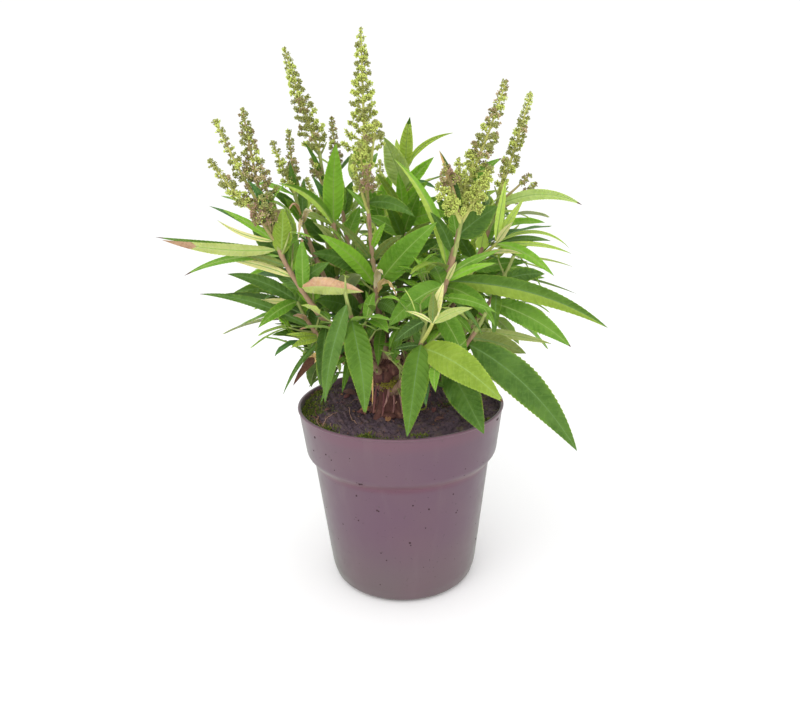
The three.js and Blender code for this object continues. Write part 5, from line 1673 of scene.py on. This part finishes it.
def build_specks():
    pot_specks().piece("dirt_specks", plain_finishes([
        ("dried dirt", (64, 46, 50), (44, 32, 38), 0.95)]), "soil")


def build_plant():
    limbs, twigs, left_buds, right_buds = Heap(), Heap(), Heap(), Heap()
    foliage = Foliage(twigs)
    for seed, name in enumerate(SHOOTS):
        grow_stem(limbs, foliage, name, seed)
    for seed, (name, shoot) in enumerate(SHOOTS.items()):
        for i, spike in enumerate(shoot.spikes):
            curve = spike_curve(name, spike)
            buds = left_buds if curve[2][0] < SPIKE["left_of"] else right_buds
            grow_spike(buds, twigs, name, spike, 100 * seed + i)
            foliage.take_limb(name, at(curve, np.linspace(0.1, 1, 6)),
                              np.linspace(spike.width / 3, 2, 6), sideways(curve), 5)
    for name in SPRIGS:
        points, faces, pattern = tube(at(stems[name], np.linspace(0, 1, 16)),
                                      np.linspace(1.5, 1.2, 16), sideways(stems[name]), 8)
        twigs.add(points, faces, 3, pattern)
        foliage.take(points, faces[0], "stem " + name)
    grow_foliage(foliage)
    barks = [bark_finish(*row) for row in BARKS]
    limbs.piece("boughs", barks, "bark", [f"bough_{name}" for name in SHOOTS])
    twigs.piece("twigs", barks + plain_finishes(STALKS), "foliage")
    finishes = leaf_finishes()
    for grade, heap in foliage.heaps.items():
        heap.piece(f"{grade}_leaves", finishes, "foliage",
                   [f"foliage_{name}" for name in SHOOTS], crease=75)
    bud_finishes = plain_finishes(BUDS)
    for side, heap in (("left", left_buds), ("right", right_buds)):
        heap.piece(f"{side}_flower_buds", bud_finishes, "foliage", crease=80)


def weld(thing):
    """Joins the points that the pot's wall and floor share, and turns its faces outwards."""
    mesh = bmesh.new()
    mesh.from_mesh(thing.data)
    bmesh.ops.remove_doubles(mesh, verts=mesh.verts, dist=0.02 * MM)
    bmesh.ops.recalc_face_normals(mesh, faces=mesh.faces)
    mesh.to_mesh(thing.data)
    mesh.free()


# ------------------------------------------------------------------ camera, light and floor

# In metres and watts: name, place, size and power of each lamp, and the place they are aimed at.
LAMPS = (("front", (-0.15, -1.5, 0.75), 1.0, 7), ("key", (-0.9, -1.1, 1.6), 0.9, 6.5),
         ("fill", (1.3, -1.0, 0.9), 1.2, 1.5))
LIT_PLACE = np.array([0, 0, 0.22])
FLOOR = dict(half=4.0, drop=0.0002)
DAYLIGHT = 1.05


def stand(thing, right, high, back, spot):
    """Puts a camera or lamp in the scene: its axes and its place, in metres."""
    thing.matrix_world = Matrix([[right[i], high[i], back[i], spot[i]] for i in range(3)]
                                + [[0, 0, 0, 1]])
    bpy.context.scene.collection.objects.link(thing)


def studio():
    scene = bpy.context.scene
    camera = bpy.data.objects.new("camera", bpy.data.cameras.new("camera"))
    camera.data.lens = CAMERA["lens"]
    camera.data.sensor_width = CAMERA["sensor"]
    camera.data.clip_start = 0.01
    stand(camera, RIGHT, ABOVE, -AHEAD, CAMERA["place"] * MM)
    scene.camera = camera

    mesh = bpy.data.meshes.new("floor")
    corners = np.array([(-1, -1), (1, -1), (1, 1), (-1, 1)]) * FLOOR["half"]
    mesh.from_pydata([(x, y, -FLOOR["drop"]) for x, y in corners], [], [(0, 1, 2, 3)])
    white = Finish("white floor", (1.0, 1.0, 1.0, 1.0), roughness=1.0, specular=0.0)
    mesh.materials.append(white.material)
    ground = bpy.data.objects.new("floor", mesh)
    scene.collection.objects.link(ground)

    world = bpy.data.worlds.new("white studio")
    world.use_nodes = True
    background = world.node_tree.nodes["Background"].inputs
    background["Color"].default_value = (1, 1, 1, 1)
    background["Strength"].default_value = DAYLIGHT
    scene.world = world
    scene.view_settings.view_transform = "Standard"
    for name, spot, size, power in LAMPS:
        lamp = bpy.data.lights.new(name, "AREA")
        lamp.size = size
        lamp.energy = power
        away = unit(np.array(spot) - LIT_PLACE)
        first = unit(np.cross(UP, away))
        stand(bpy.data.objects.new(name, lamp), first, np.cross(away, first), away, spot)


studio()
build_pot()
build_stool()
build_specks()
build_plant()
